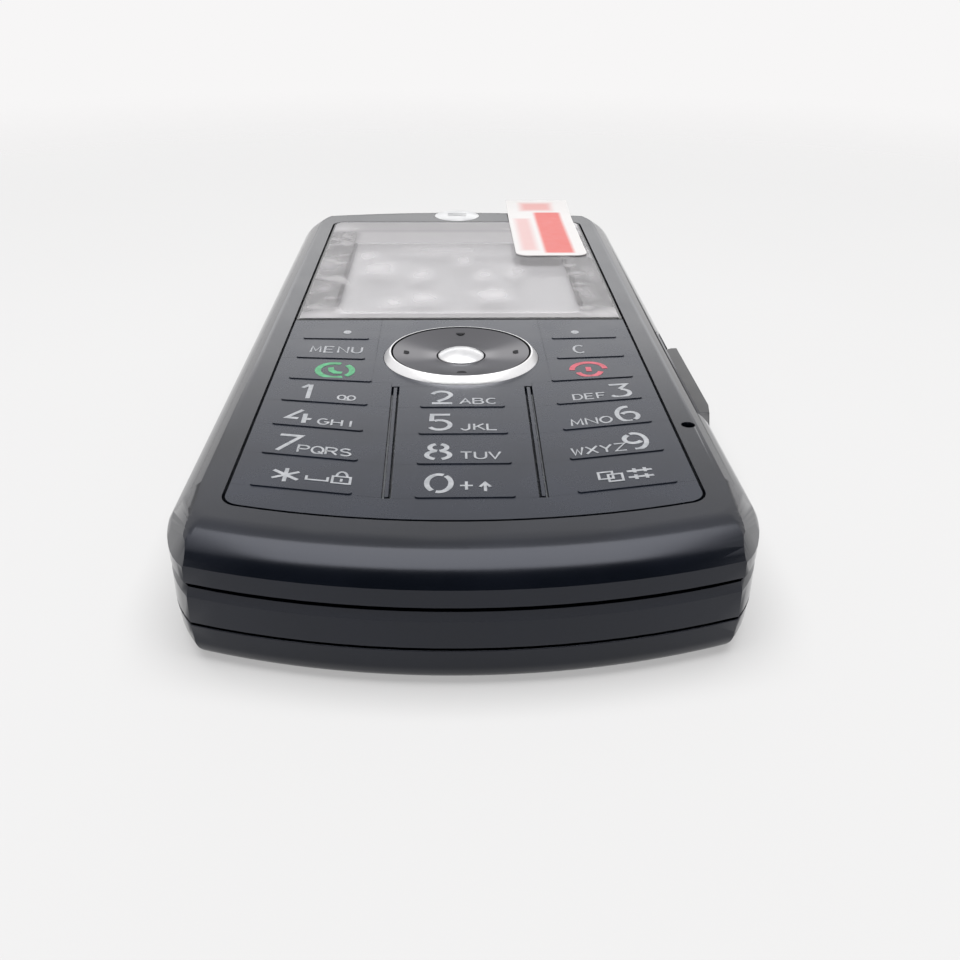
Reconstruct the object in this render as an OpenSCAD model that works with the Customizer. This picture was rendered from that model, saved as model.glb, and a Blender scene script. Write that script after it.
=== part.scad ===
// Slim bar phone lying on its back: screen up, bottom end towards -Y, earpiece towards +Y.
// Millimetres. The origin is the middle of the back, on the surface that the phone rests on.

/* [Body] */
// Length of the body from end to end
body_l = 113; // [111:0.5:118]
// Width of the body at its widest
body_w = 48.7; // [48:0.1:53]
// Height of the front shell, from the front face down to its seam
front_band = 3.95; // [3.8:0.05:4.2]
// Height of the battery door and the rear cover
rear_band = 3.65; // [3.3:0.05:3.8]
// Shadow gap between two shells
seam = 0.24; // [0.16:0.02:0.36]
// Shadow gap below the front shell
front_seam = 0.5; // [0.3:0.02:0.6]
// Height over which the front edge rounds, above the crease round the front shell
edge_h = 2.3; // [2:0.05:2.5]
// How far in the front edge rounds at the two ends
end_run = 4; // [3.6:0.1:4.4]
// How far in the front edge rounds along the sides
side_run = 3; // [3:0.1:3.6]
// Radius that rounds the back edge
back_r = 2.2; // [1.6:0.1:2.6]
// Radius of the bowed bottom end, seen from above
end_r = 63; // [58:1:90]
// Radius of the flatter top end
top_r = 95; // [75:1:120]
// Radius that turns the sides in towards the ends
corner_r = 15; // [14:0.5:17]
// Length at the bottom end over which the sides turn in
corner_run = 12.5; // [11.5:0.5:13.5]
// Length at the top end over which the sides turn in
top_run = 11.2; // [10.6:0.1:12.5]
// Thickness of the shells' side walls
wall = 1.5; // [1.3:0.1:1.6]
// Bevel along the upper edge of the middle shell: how far in
bevel_in = 0.3; // [0.2:0.05:0.5]
// Bevel along the upper edge of the middle shell: how high
bevel_h = 0.8; // [0.6:0.05:1.3]

/* [Layers from the back to the front] */
// Thickness of the back floor
floor_t = 0.9; // [0.8:0.1:1.2]
// Thickness of the battery
battery_t = 4.6; // [4.4:0.1:5]
// Thickness of the deck inside the middle shell
deck_t = 0.8; // [0.7:0.1:1]
// Room for the parts under the main board
parts_h = 1.2; // [1.1:0.1:1.5]
// Thickness of the main board
board_t = 0.8; // [0.6:0.1:1]
// Room between the main board and the ledge that carries the lens and the keypad
dome_room = 1.3; // [1.25:0.05:1.5]
// Thickness of the front skin, and of the lens set into it
skin = 1.3; // [1.25:0.05:1.5]

/* [Front window] */
// Distance from the bottom end to the lower edge of the window
chin = 6.15; // [5.8:0.05:7]
// Distance from the top end to the upper edge of the window
forehead = 9.8; // [9.6:0.1:11]
// Width of the front shell beside the window
rim = 4.72; // [4.6:0.02:5.2]
// Radius of the window's bowed lower edge
window_r = 61; // [55:1:80]
// Radius of the window's corners
window_corner = 2; // [1.8:0.1:3]
// Groove between the window and what is set into it
groove = 0.3; // [0.16:0.02:0.36]
// How far the ledge reaches in under the lens and the keypad
ledge_in = 0.9; // [0.7:0.1:1.1]
// Thickness of the ledge
ledge_t = 0.7; // [0.5:0.1:0.8]
// Length of the lens over the display
lens_l = 48.3; // [46:0.1:49]

/* [Keypad] */
// Distance from the lens to the ridge of the first row of keys
first_row = 7.28; // [6.8:0.02:7.6]
// Distance between the ridges of the three upper rows
upper_pitch = 6.5; // [6.3:0.05:6.8]
// Height of the plain strip below the last row
strip_h = 3.85; // [3.4:0.05:4.2]
// Thickness of a key
key_t = 0.6; // [0.5:0.05:0.65]
// Travel of a key
key_travel = 0.25; // [0.15:0.01:0.28]
// Gap between two keys
key_gap = 0.06; // [0.06:0.01:0.12]
// Radius of the plunger under a key
plunger_r = 1.4; // [1:0.1:1.6]
// Width of the ridge along the lower edge of a key
ridge_w = 0.54; // [0.3:0.02:0.6]
// Height of that ridge
ridge_h = 0.17; // [0.1:0.01:0.25]
// Inner side of the upper keys, from the middle line
upper_in = 9.15; // [9:0.05:9.8]
// Divider bar from the middle line, at its upper end
bar_x_top = 6.67; // [6.4:0.01:6.9]
// Divider bar from the middle line, at its lower end
bar_x_low = 6.37; // [6.1:0.01:6.9]
// Width of a divider bar
bar_w = 0.56; // [0.4:0.02:0.8]
// Gap beside a divider bar
bar_gap = 0.14; // [0.1:0.01:0.2]

/* [Navigation key] */
// Distance from the lens to the middle of the navigation key
nav_drop = 12.38; // [12:0.02:12.5]
// Outer radius of the bright bezel
bezel_r = 8.35; // [8:0.05:8.5]
// Height of the bezel above the front face
bezel_h = 0.7; // [0.5:0.05:0.9]
// Width of the bezel
bezel_w = 0.85; // [0.7:0.05:1]
// Radius of the select key
select_r = 2.5; // [2.2:0.05:2.8]
// Height of the select key's dome
select_dome = 0.7; // [0.4:0.05:0.9]

/* [Side port cover] */
// Length of the cover
cover_l = 22.6; // [21:0.1:24]
// Height of the cover
cover_h = 4.4; // [4.2:0.05:4.5]
// How far the cover stands out of the side
cover_out = 1; // [0.7:0.05:1.2]
// Far end of the cover, from the middle of the body
cover_end = 5.6; // [4:0.1:6]
// Length of the slope at the near end
cover_slope = 5.9; // [4:0.1:6]

/* [Inner parts] */
// Room below the battery, from the bottom end
battery_low = 10.5; // [9.5:0.5:14.5]
// Width of the battery
battery_w = 34.6; // [32:0.2:35]
// Length of the rear cover, from the top end to the battery door
rear_l = 33.5; // [33.1:0.1:33.9]
// Radius of the loudspeaker
speaker_r = 5.4; // [4.5:0.1:5.6]
// Radius of the camera window
camera_r = 2.5; // [2:0.1:2.8]

/* [Hidden] */
$fn = 72;
// Running clearance between fixed neighbours
fit = 0.1;
// Clearance round a piece that moves
play = 0.15;
// Overlap of a cut past the face it opens
cut = 1;
// Room between the battery and the floor of its door
battery_room = 0.3;

// Heights of the layers
battery_z = floor_t + battery_room;
deck_z = battery_z + battery_t + fit;
deck_top = deck_z + deck_t;
board_z = deck_top + parts_h;
board_top = board_z + board_t;
ledge_z = board_top + dome_room;
face_z = ledge_z + skin;
split_front_z = face_z - front_band;
split_rear_z = rear_band;
middle_top = split_front_z + seam / 2 - front_seam;

// Plan of the body
half_l = body_l / 2;
half_w = body_w / 2;
corner_x = half_w - corner_r;
corner_y = half_l - corner_run;
top_corner_y = half_l - top_run;
low_arc_y = end_r - half_l;
top_arc_y = half_l - top_r;
mid_wall = bevel_in + wall;
lip_t = 0.8;
tongue_wall = 0.6;
tongue_drop = 0.6;
board_room = 0.4;
// Set-back of the two lower shells behind the front one, and of the rear one where it starts to round
set_back = 0.05;
taper = 0.2;

// Window, lens and keypad
window_half = half_w - rim;
window_low = -half_l + chin;
window_top = half_l - forehead;
insert_half = window_half - groove;
lens_y = window_top - groove / 2 - lens_l;
keys_top = lens_y - groove;
ledge_out = 1.4;
mat_t = 0.35;
mat_rib_w = 1;
mat_hole = 0.3;
key_z = face_z - key_t;
mat_top = ledge_z + mat_t;
upper_rows = 3;
rows = 7;
last_row_y = window_low + strip_h;
first_row_y = lens_y - first_row;
upper_end_y = first_row_y - (upper_rows - 1) * upper_pitch;
lower_pitch = (upper_end_y - last_row_y) / (rows - upper_rows);
// Outside the divider bars the rows tilt up, more so the further they lie from the lens
tilt_most = 0.215;
tilt_run = 32;
tilt_from = 6.14;
nav_y = lens_y - nav_drop;
bezel_fit = 0.06;
bezel_flat = 0.2;
plate_margin = 0.3;
plate_low = nav_y - bezel_r - plate_margin;
dome_film_t = 0.06;
dome_h = 0.25;
dome_r = 1.9;
nav_dome_r = 1.2;
dome_top = board_top + dome_film_t + dome_h;
dome_gap = 0.05;
plunger_end = dome_top + key_travel + dome_gap;
nav_r = bezel_r - bezel_w - play;
nav_lift = 0.55;
nav_z = mat_top + nav_lift;
nav_post_in = 1.45;
nav_post_at = nav_r - nav_post_in;
nav_post_r = 0.8;
nav_gap = 0.2;
rocker_room = 0.4;
rocker_w = 1.3;
rocker_in = select_r + rocker_room;
rocker_out = rocker_in + rocker_w;
select_lift = 0.1;
select_stem_r = 1;

// Display under the lens, and the film with its pull tab on it
panel_room = 1.5;
panel_half = window_half - ledge_in - panel_room;
panel_up = 0.8;
panel_low = lens_y + panel_up;
panel_top = window_top - ledge_in - panel_up;
glass_in = 1;
glass_half = panel_half - glass_in;
glass_low = panel_low + glass_in;
driver_l = 3;
glass_top = panel_top - driver_l;
glass_t = 0.2;
gasket_t = 0.15;
gasket_w = 0.7;
film_t = 0.08;
film_in = 0.3;
tab_t = 0.12;
tab_w = 10.2;
tab_in = 1.1;
tab_up = 27.6;
tab_x = window_half - tab_w - tab_in;
tab_y0 = lens_y + tab_up;
tab_flat = 21;
tab_corner = 1.6;
tab_curl_r = 60;
tab_curl = 10;

// Screws and their bosses
boss_x = 13;
boss_in = 5.7;
boss_y = half_l - boss_in;
boss_r = 1.35;
screw_r = 0.6;
screw_head_r = 1.2;
screw_head_h = 0.6;
screw_grip = 2.4;
screw_end = 0.4;
socket_r = 0.5;
BOSSES = [for (sx = [-1, 1], sy = [-1, 1]) [sx * boss_x, sy * boss_y]];

// Earpiece and microphone
ear_r = 3.6;
ear_gap = 0.7;
ear_y = window_top + ear_r + ear_gap;
ear_seat = 0.6;
ear_crown = 0.2;
ear_hole_r = 2.4;
ear_slot_half = 1.5;
ear_slot_pitch = 0.8;
ear_slot_w = 0.25;
receiver_half = [5.2, 2.4];
mic_in = 1.3;
mic_x = window_half + mic_in;
mic_drop = 18.35;
mic_y = nav_y - mic_drop;
mic_r = 0.65;
mic_body_r = 1.4;

// Screening cans, each from one corner to the other: two measured from the top end, one from the bottom end
TOP_CANS = [[[-16, 34.5], [4, 12.5]], [[6, 32.5], [16, 14.5]]];
LOW_CAN = [[-15, 16.5], [12, 52.5]];

// Side port: cover, bead on its hinge line, socket behind it
side_in = 1;
shoulder_in = 1.7;
shoulder_t = 0.3;
cover_x0 = half_w - side_in;
cover_x1 = half_w + cover_out;
cover_lift = 0.95;
cover_z0 = split_rear_z + cover_lift;
cover_z1 = cover_z0 + cover_h;
bead_r = 0.8;
bead_x = cover_x1 - bead_r;
bead_in = 1;
bead_y = -cover_end - bead_in;
swing_room = 0.5;
cover_low = -cover_end - cover_l;
socket_w = 7.7;
socket_h = 3;
socket_wall = 0.4;
tongue_half = 2.4;
tongue_in = 1.6;
tongue_t = 0.6;
socket_in = 8.6;
socket_y = -cover_end - socket_in;
socket_room = 0.4;
plug_half = 2.3;
plug_in = 0.9;
socket_z0 = board_z - socket_h;
bay_wall = 0.8;
bay_room = 0.3;
bay_lift = 1.3;
socket_x0 = battery_w / 2 + bay_room + bay_wall + fit;
mouth_in = 0.25;
socket_x1 = cover_x0 - mouth_in;

// Keys on the left side
side_lift = 0.85;
side_z0 = split_rear_z + side_lift;
side_h = 1.6;
side_out = 0.35;
side_flange = 0.5;
side_travel = 0.25;
side_flange_x = half_w - mid_wall - side_travel - fit;
volume_in = 35.5;
volume_y = half_l - volume_in;
volume_l = 14;
shot_in = 51.5;
shot_y = half_l - shot_in;
shot_l = 6;
SIDE_KEYS = [[volume_y, volume_l], [shot_y, shot_l]];
side_inner = half_w - mid_wall - tongue_wall - fit;
switch_x = side_flange_x - side_flange - side_travel - set_back;
switch_t = 0.55;
switch_half = 1.4;
strip_t = 0.35;
volume_throw = 4;
notch_in = 3.4;
notch_room = 1;

// Rear: battery, latch, loudspeaker, camera, vibration motor
door_end = half_l - rear_l;
battery_y = -half_l + battery_low;
door_tab_in = 20.5;
door_tab_gap = 7;
DOOR_TABS = [-half_l + door_tab_in, shot_y - door_tab_gap];
door_tab_t = 0.8;
door_tab_half = 3;
// How far a post, tongue or plug is rooted in what carries it
root_in = 0.2;
pad_half = 5;
pad_in = 1.2;
contact_lift = 2;
contact_z = battery_z + contact_lift;
contact_h = 0.7;
contact_w = 0.8;
contact_t = 2;
contact_pitch = 3;
antenna_in = 4.2;
antenna_half = 10.5;
antenna_wall = 1;
sim_half = 13;
sim_y0 = 4;
sim_in = 2.5;
sim_y1 = door_end - sim_in;
sim_h = 1.1;
sim_wall = 0.3;
sim_rim = 4;
latch_in = 1.6;
latch_y = door_end + latch_in;
latch_w = 8;
latch_l = 4.5;
latch_travel = 1.5;
latch_recess = 0.15;
latch_plate_t = 0.8;
latch_lap = 1;
latch_groove = 0.4;
latch_pitch = 1.1;
speaker_room = 1.6;
speaker_y = latch_y + latch_l + latch_travel + speaker_r + speaker_room;
speaker_h = 3;
speaker_rim = 0.9;
slot_half = 3;
slot_step = 0.5;
slot_w = 0.8;
slot_pitch = 1.6;
camera_in = 9.2;
camera_y = half_l - camera_in;
camera_half = 4;
camera_neck = 1.4;
camera_ring_w = 0.6;
camera_recess = 0.2;
camera_glass_t = 0.7;
motor_x = 14.5;
motor_in = 21.5;
motor_y0 = half_l - motor_in;
motor_l = 7.5;
motor_r = 1.9;
motor_lift = 2.4;
motor_z = floor_t + motor_lift;
shaft_r = 0.35;
shaft_out = 0.4;
weight_l = 3;
weight_rise = 0.7;
boot_in = 0.6;
post_x = 17;
post_in = 26.5;
post_y = half_l - post_in;
post_r = 1.2;

// Colours as they show
navy = "#2b2f38";
keypad_navy = "#30353f";
bright = "#d9dade";
rubber = "#3a3b3e";
steel = "#b4b6ba";

// Lower edge of a row in the middle, and at a distance x from the middle line
function row_y(row) = row < upper_rows ? first_row_y - row * upper_pitch
    : upper_end_y - (row - upper_rows + 1) * lower_pitch;
function tilt(row) = tilt_most * min(1, (lens_y - row_y(row)) / tilt_run);
function edge_y(row, x) = row_y(row) + tilt(row) * (x - tilt_from);
// Middle of a divider bar at a height y
function bar_x(y) = bar_x_top + (bar_x_low - bar_x_top) * (plate_low - y) / (plate_low - last_row_y);
// Side of a key beside a divider bar, with side 1 outwards and -1 inwards
function beside_bar(y, side) = bar_x(y) + side * (bar_w / 2 + bar_gap);

// Radius of the arc that rises by h over a half chord r
function arc_r(r, h) = (r * r + h * h) / (2 * h);

// Plan outline of the body, moved in all round
module outline(inset) {
    intersection() {
        union() {
            translate([inset - half_w, -corner_y]) square([body_w - 2 * inset, corner_y + top_corner_y]);
            square([2 * corner_x, body_l], center = true);
            for (s = [-1, 1], y = [-corner_y, top_corner_y])
                translate([s * corner_x, y]) circle(corner_r - inset);
        }
        translate([0, low_arc_y]) circle(end_r - inset);
        translate([0, top_arc_y]) circle(top_r - inset);
    }
}

// Edge profiles: x is the distance in from the plan outline, y the height
// Front shell: an upright band, then a crease, then an arc that runs in to the face
module front_edge(depth, run) {
    low = split_front_z + seam / 2;
    radius = arc_r(run, edge_h);
    intersection() {
        union() {
            translate([run, face_z - radius]) circle(radius);
            translate([run, low]) square([depth - run, face_z - low]);
        }
        translate([0, low]) square([depth, face_z - low]);
    }
}

module middle_edge(depth) {
    low = split_rear_z + seam / 2;
    polygon([[set_back, low], [depth, low], [depth, middle_top], [bevel_in, middle_top],
        [set_back, middle_top - bevel_h]]);
}

module rear_edge(depth) {
    top = split_rear_z - seam / 2;
    union() {
        polygon([[set_back, top], [taper, back_r], [depth, back_r], [depth, top]]);
        intersection() {
            union() {
                translate([taper + back_r, back_r]) circle(back_r);
                translate([taper + back_r, 0]) square([depth - taper - back_r, back_r]);
            }
            square([depth, back_r]);
        }
    }
}

module edge(shell, depth, run) {
    translate([depth, 0]) mirror([1, 0]) {
        if (shell == "front") front_edge(depth, run);
        if (shell == "middle") middle_edge(depth);
        if (shell == "rear") rear_edge(depth);
    }
}

// Solid of a shell: its edge runs along the sides and round the corners, and is then cut by the
// same edge turned about each end's own centre, which leaves the crisp crease at each corner
module shell_solid(shell, low, top) {
    intersection() {
        union() {
            translate([0, top_corner_y, 0]) rotate([90, 0, 0]) linear_extrude(corner_y + top_corner_y) {
                edge(shell, half_w, side_run);
                mirror([1, 0]) edge(shell, half_w, side_run);
            }
            for (s = [-1, 1], y = [-corner_y, top_corner_y])
                translate([s * corner_x, y, 0]) rotate_extrude() edge(shell, corner_r, side_run);
            translate([-corner_x, -half_l, low]) cube([2 * corner_x, body_l, top - low]);
        }
        translate([0, low_arc_y, 0]) rotate_extrude() edge(shell, end_r, end_run);
        translate([0, top_arc_y, 0]) rotate_extrude() edge(shell, top_r, end_run);
    }
}

// Prism over the plan outline
module prism(inset, low, top) {
    translate([0, 0, low]) linear_extrude(top - low) outline(inset);
}

// Window outline in the front face, grown or shrunk all round
module window(grow) {
    half = window_half + grow;
    radius = window_corner + grow;
    side = window_half - window_corner;
    arc_y = window_low + window_r;
    low_y = arc_y - sqrt(pow(window_r - window_corner, 2) - side * side);
    top_y = window_top - window_corner;
    translate([-half, low_y]) square([2 * half, top_y - low_y]);
    translate([-side, low_y]) square([2 * side, top_y + radius - low_y]);
    for (s = [-1, 1], y = [low_y, top_y])
        translate([s * side, y]) circle(radius);
    intersection() {
        translate([0, arc_y]) circle(window_r + grow);
        polygon([[0, arc_y], [-2 * side, 2 * low_y - arc_y], [2 * side, 2 * low_y - arc_y]]);
    }
}

// Half plane above or below a line across the body
module above(y) {
    translate([-body_w, y]) square([2 * body_w, body_l]);
}

module below(y) {
    translate([-body_w, y - body_l]) square([2 * body_w, body_l]);
}

module at_bosses(low) {
    for (p = BOSSES)
        translate([p[0], p[1], low]) children();
}

// Block between two corners
module block(a, b) {
    translate(a) cube(b - a);
}

// Recess in the right side for the port cover, with the shoulder above it cut back, and the opening
// for the socket behind it
module port_recess() {
    low = cover_low - play;
    top = -cover_end + swing_room;
    block([cover_x0 - fit, low, cover_z0 - play], [half_w + cut, top, face_z + cut]);
    block([half_w - shoulder_in, low, ledge_z + shoulder_t], [half_w + cut, top, face_z + cut]);
    block([socket_x0 - fit, socket_y - socket_w / 2 - socket_room, socket_z0 - fit],
        [half_w, socket_y + socket_w / 2 + socket_room, board_z + fit]);
}

module front_housing() {
    color(navy) difference() {
        union() {
            difference() {
                shell_solid("front", split_front_z + seam / 2, face_z);
                prism(wall, split_front_z, ledge_z);
            }
            translate([0, 0, ledge_z - ledge_t]) linear_extrude(ledge_t) difference() {
                window(ledge_out);
                window(-ledge_in);
            }
            at_bosses(deck_top) cylinder(r = boss_r, h = ledge_z - deck_top);
        }
        translate([0, 0, ledge_z]) linear_extrude(skin + cut) window(0);
        at_bosses(deck_top - cut) cylinder(r = screw_r + fit / 2, h = screw_grip + screw_end + cut);
        translate([0, ear_y, face_z - ear_seat]) cylinder(r = ear_r + fit / 2, h = ear_seat + cut);
        translate([0, ear_y, ledge_z - cut]) cylinder(r = ear_hole_r, h = skin + cut);
        translate([mic_x, mic_y, ledge_z - ledge_t - cut]) cylinder(r = mic_r, h = skin + ledge_t + 2 * cut);
        port_recess();
    }
}

module middle_housing() {
    low = split_rear_z + seam / 2;
    color(navy) difference() {
        union() {
            difference() {
                shell_solid("middle", low, middle_top);
                prism(mid_wall, low - cut, middle_top + cut);
            }
            prism(wall + fit, deck_z, deck_top);
            difference() {
                prism(wall + fit, deck_top, board_z);
                prism(wall + fit + lip_t, deck_top - cut, board_z + cut);
            }
            difference() {
                prism(mid_wall, low - seam - tongue_drop, deck_z);
                prism(mid_wall + tongue_wall, low - seam - tongue_drop - cut, deck_z + cut);
            }
            battery_bay();
        }
        at_bosses(deck_z - cut) cylinder(r = screw_r + fit, h = deck_t + 2 * cut);
        port_recess();
        for (k = SIDE_KEYS)
            side_opening(k[0], k[1]);
        block([-(half_w - mid_wall), shot_y - shot_l / 2 - notch_room, deck_z - cut],
            [-(half_w - mid_wall) + notch_in, volume_y + volume_l / 2 + notch_room, deck_top + cut]);
    }
}

// Walls round the battery, hanging from the deck
module battery_bay() {
    inner = battery_w / 2 + bay_room;
    low = floor_t + bay_lift;
    difference() {
        block([-inner - bay_wall, battery_y - bay_room - bay_wall, low], [inner + bay_wall, bay_room, deck_z]);
        block([-inner, battery_y - bay_room, low - cut], [inner, bay_room + cut, deck_z + cut]);
    }
}

module side_opening(y, length) {
    block([-half_w - cut, y - length / 2 - play, side_z0 - play],
        [-side_inner, y + length / 2 + play, side_z0 + side_h + play]);
    block([-half_w + mid_wall, y - length / 2 - side_flange - play, side_z0 - play],
        [-side_inner, y + length / 2 + side_flange + play, side_z0 + side_h + play]);
}

// Rear shell with its floor, hollow above it
module rear_shell() {
    difference() {
        shell_solid("rear", 0, split_rear_z - seam / 2);
        prism(wall + taper, floor_t, split_rear_z);
    }
}

module battery_door() {
    color(navy) {
        difference() {
            rear_shell();
            block([-body_w, door_end, -cut], [body_w, body_l, split_rear_z + cut]);
        }
        door_tabs();
    }
}

// Tongues that rise inside the middle shell and locate the door
module door_tabs() {
    tab_x = half_w - mid_wall - tongue_wall - fit;
    for (s = [-1, 1], y = DOOR_TABS)
        translate([s * (tab_x - door_tab_t / 2), y, 0])
            block([-door_tab_t / 2, -door_tab_half, floor_t - root_in],
                [door_tab_t / 2, door_tab_half, deck_z - fit]);
}

module rear_cover() {
    color(navy) difference() {
        union() {
            difference() {
                rear_shell();
                block([-body_w, -body_l, -cut], [body_w, door_end + seam, split_rear_z + cut]);
            }
            for (s = [-1, 1])
                translate([s * post_x, post_y, floor_t - root_in])
                    cylinder(r = post_r, h = deck_z - floor_t + root_in);
        }
        block([-latch_w / 2 - play, latch_y - play, -cut],
            [latch_w / 2 + play, latch_y + latch_l + latch_travel + play, floor_t + cut]);
        translate([0, camera_y, -cut]) cylinder(r = camera_r + camera_ring_w + fit / 2, h = floor_t + 2 * cut);
        for (i = [-2:2])
            translate([0, speaker_y + i * slot_pitch, 0])
                cube([2 * (slot_half - abs(i) * slot_step), slot_w, 2 * (floor_t + cut)], center = true);
    }
}

module door_latch() {
    plate_z = floor_t + set_back;
    half = latch_w / 2;
    color(navy) {
        difference() {
            block([-half, latch_y, latch_recess], [half, latch_y + latch_l, plate_z]);
            for (i = [-1:1])
                translate([0, latch_y + latch_l / 2 + i * latch_pitch, latch_recess])
                    cube([latch_w - 2 * latch_lap, latch_groove, latch_groove], center = true);
        }
        block([-half - latch_lap, latch_y - latch_lap, plate_z],
            [half + latch_lap, latch_y + latch_l + latch_lap, plate_z + latch_plate_t]);
    }
}

module display_lens() {
    color("#70757c") translate([0, 0, ledge_z]) linear_extrude(skin) intersection() {
        window(-groove);
        above(lens_y);
    }
}

// Display glass on its backlight frame, set on the main board
module display_module() {
    top = ledge_z - gasket_t;
    color("#c9cbd0") {
        block([-panel_half, panel_low, board_top], [panel_half, panel_top, top - glass_t]);
        block([-glass_half, glass_low, top - glass_t], [glass_half, glass_top, top]);
    }
}

// Foam frame between the display and the lens
module display_gasket() {
    low = ledge_z - gasket_t;
    color("#202124") difference() {
        block([-glass_half, glass_low, low], [glass_half, glass_top, ledge_z]);
        block([-glass_half + gasket_w, glass_low + gasket_w, low - cut],
            [glass_half - gasket_w, glass_top - gasket_w, ledge_z + cut]);
    }
}

module screen_film() {
    color("#e6e7ea", 0.5) translate([0, 0, face_z]) linear_extrude(film_t) intersection() {
        window(-groove - film_in);
        above(lens_y + film_in);
    }
}

// Pull tab of the film: flat on the lens, then curling up past the top edge
module film_tab() {
    low = face_z + film_t;
    corner = tab_corner;
    color("#f2f1f1") {
        translate([tab_x, tab_y0, low]) linear_extrude(tab_t) {
            translate([0, corner]) square([tab_w, tab_flat - corner]);
            translate([corner, 0]) square([tab_w - 2 * corner, corner]);
            for (x = [corner, tab_w - corner])
                translate([x, corner]) circle(corner);
        }
        translate([tab_x, tab_y0 + tab_flat, low + tab_curl_r]) rotate([90, 0, 90]) rotate([0, 0, -90])
            rotate_extrude(angle = tab_curl) translate([tab_curl_r - tab_t, 0]) square([tab_t, tab_w]);
    }
}

// Low dome on a round base
module cap(r, h) {
    rotate_extrude() intersection() {
        translate([0, h - arc_r(r, h)]) circle(arc_r(r, h), $fn = 360);
        square([r + cut, h + cut]);
    }
}

module earpiece_grille() {
    color(bright) translate([0, ear_y, face_z - ear_seat]) difference() {
        union() {
            cylinder(r = ear_r, h = ear_seat);
            translate([0, 0, ear_seat]) cap(ear_r, ear_crown);
        }
        for (i = [-1:1])
            translate([0, i * ear_slot_pitch, 0])
                cube([2 * ear_slot_half, ear_slot_w, 4 * cut], center = true);
    }
}

module earpiece_receiver() {
    color("#4a4b4f") translate([0, ear_y, 0])
        block([-receiver_half[0], -receiver_half[1], board_top],
            [receiver_half[0], receiver_half[1], ledge_z - fit]);
}

module microphone() {
    color(steel) translate([mic_x, mic_y, board_top])
        cylinder(r = mic_body_r, h = dome_room - ledge_t - fit / 2);
}

// Ridge along the lower edge of a key, from one point of that edge to another
module ridge(a, b) {
    up = [0, ridge_w];
    translate([0, 0, face_z]) linear_extrude(ridge_h) {
        polygon([a, b, b + up, a + up]);
        for (p = [a, b])
            translate(p + up / 2) circle(ridge_round * ridge_w);
    }
}

module plunger(x, y) {
    translate([x, y, plunger_end]) cylinder(r = plunger_r, h = key_z - plunger_end);
}

// Inner side of a key in an outer column
function key_in(row, y) = row < upper_rows ? upper_in + key_gap : beside_bar(y, 1);
function top_edge(row, x) = [x, row == 0 ? keys_top : edge_y(row - 1, x) - key_gap / 2];
function low_edge(row, x) = [x, edge_y(row, x) + key_gap / 2];
function outer_mid_x(row) = (key_in(row, row_y(row)) + insert_half) / 2;
function outer_mid_y(row) = (top_edge(row, outer_mid_x(row)) + low_edge(row, outer_mid_x(row)))[1] / 2;
function centre_top(row) = row == upper_rows ? plate_low - key_gap : row_y(row - 1) - key_gap / 2;
function centre_mid_y(row) = (centre_top(row) + row_y(row)) / 2;
// Radius of a ridge's ends, as a share of its width
ridge_round = 0.45;
// Where the ridge of an outer key starts, from the middle line
ridge_start = 9.45;
ridge_start_upper = 10.6;
ridge_inset = 1.9;
function ridge_in(row) = row < upper_rows - 1 ? ridge_start_upper : ridge_start;
ridge_end = insert_half - ridge_inset;
centre_ridge = 3.82;

// Points of a right half and of its mirror image, as one outline
function both_sides(right) = concat(right, [for (i = [len(right) - 1:-1:0]) [-right[i][0], right[i][1]]]);

// Key of an outer column: side 1 on the right, -1 on the left
module outer_key(row, side) {
    in_top = key_in(row, top_edge(row, upper_in)[1]);
    in_low = key_in(row, row_y(row));
    color(keypad_navy) mirror([side < 0 ? 1 : 0, 0, 0]) {
        translate([0, 0, key_z]) linear_extrude(key_t) polygon([
            top_edge(row, in_top), top_edge(row, insert_half),
            low_edge(row, insert_half), low_edge(row, in_low)]);
        ridge(low_edge(row, ridge_in(row)), low_edge(row, ridge_end));
        plunger(outer_mid_x(row), outer_mid_y(row));
    }
}

module centre_key(row) {
    top = centre_top(row);
    low = row_y(row) + key_gap / 2;
    color(keypad_navy) {
        translate([0, 0, key_z]) linear_extrude(key_t) polygon([
            [-beside_bar(top, -1), top], [beside_bar(top, -1), top],
            [beside_bar(low, -1), low], [-beside_bar(low, -1), low]]);
        ridge([-centre_ridge, low], [centre_ridge, low]);
        plunger(0, centre_mid_y(row));
    }
}

// Fixed parts of the keypad's face: the plate round the navigation key and the strip below the keys
module keypad_plate() {
    step_x = beside_bar(plate_low, 1);
    strip_x = beside_bar(last_row_y, 1);
    strip_top = last_row_y - key_gap / 2;
    last = upper_rows - 1;
    color(keypad_navy) translate([0, 0, mat_top]) linear_extrude(face_z - mat_top) {
        difference() {
            polygon(both_sides([[upper_in, keys_top], low_edge(last, upper_in), low_edge(last, step_x),
                [step_x, plate_low]]));
            translate([0, nav_y]) circle(bezel_r + bezel_fit);
        }
        intersection() {
            window(-groove);
            polygon(both_sides([[strip_x, strip_top], top_edge(rows, strip_x), top_edge(rows, insert_half),
                [insert_half, -half_l]]));
        }
    }
}

module divider_bars() {
    top = plate_low - bar_gap;
    low = last_row_y + bar_gap;
    color("#4a505c") translate([0, 0, mat_top]) linear_extrude(face_z - mat_top)
        for (s = [0, 1])
            mirror([s, 0]) polygon([[bar_x(top) - bar_w / 2, top], [bar_x(top) + bar_w / 2, top],
                [bar_x(low) + bar_w / 2, low], [bar_x(low) - bar_w / 2, low]]);
}

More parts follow.
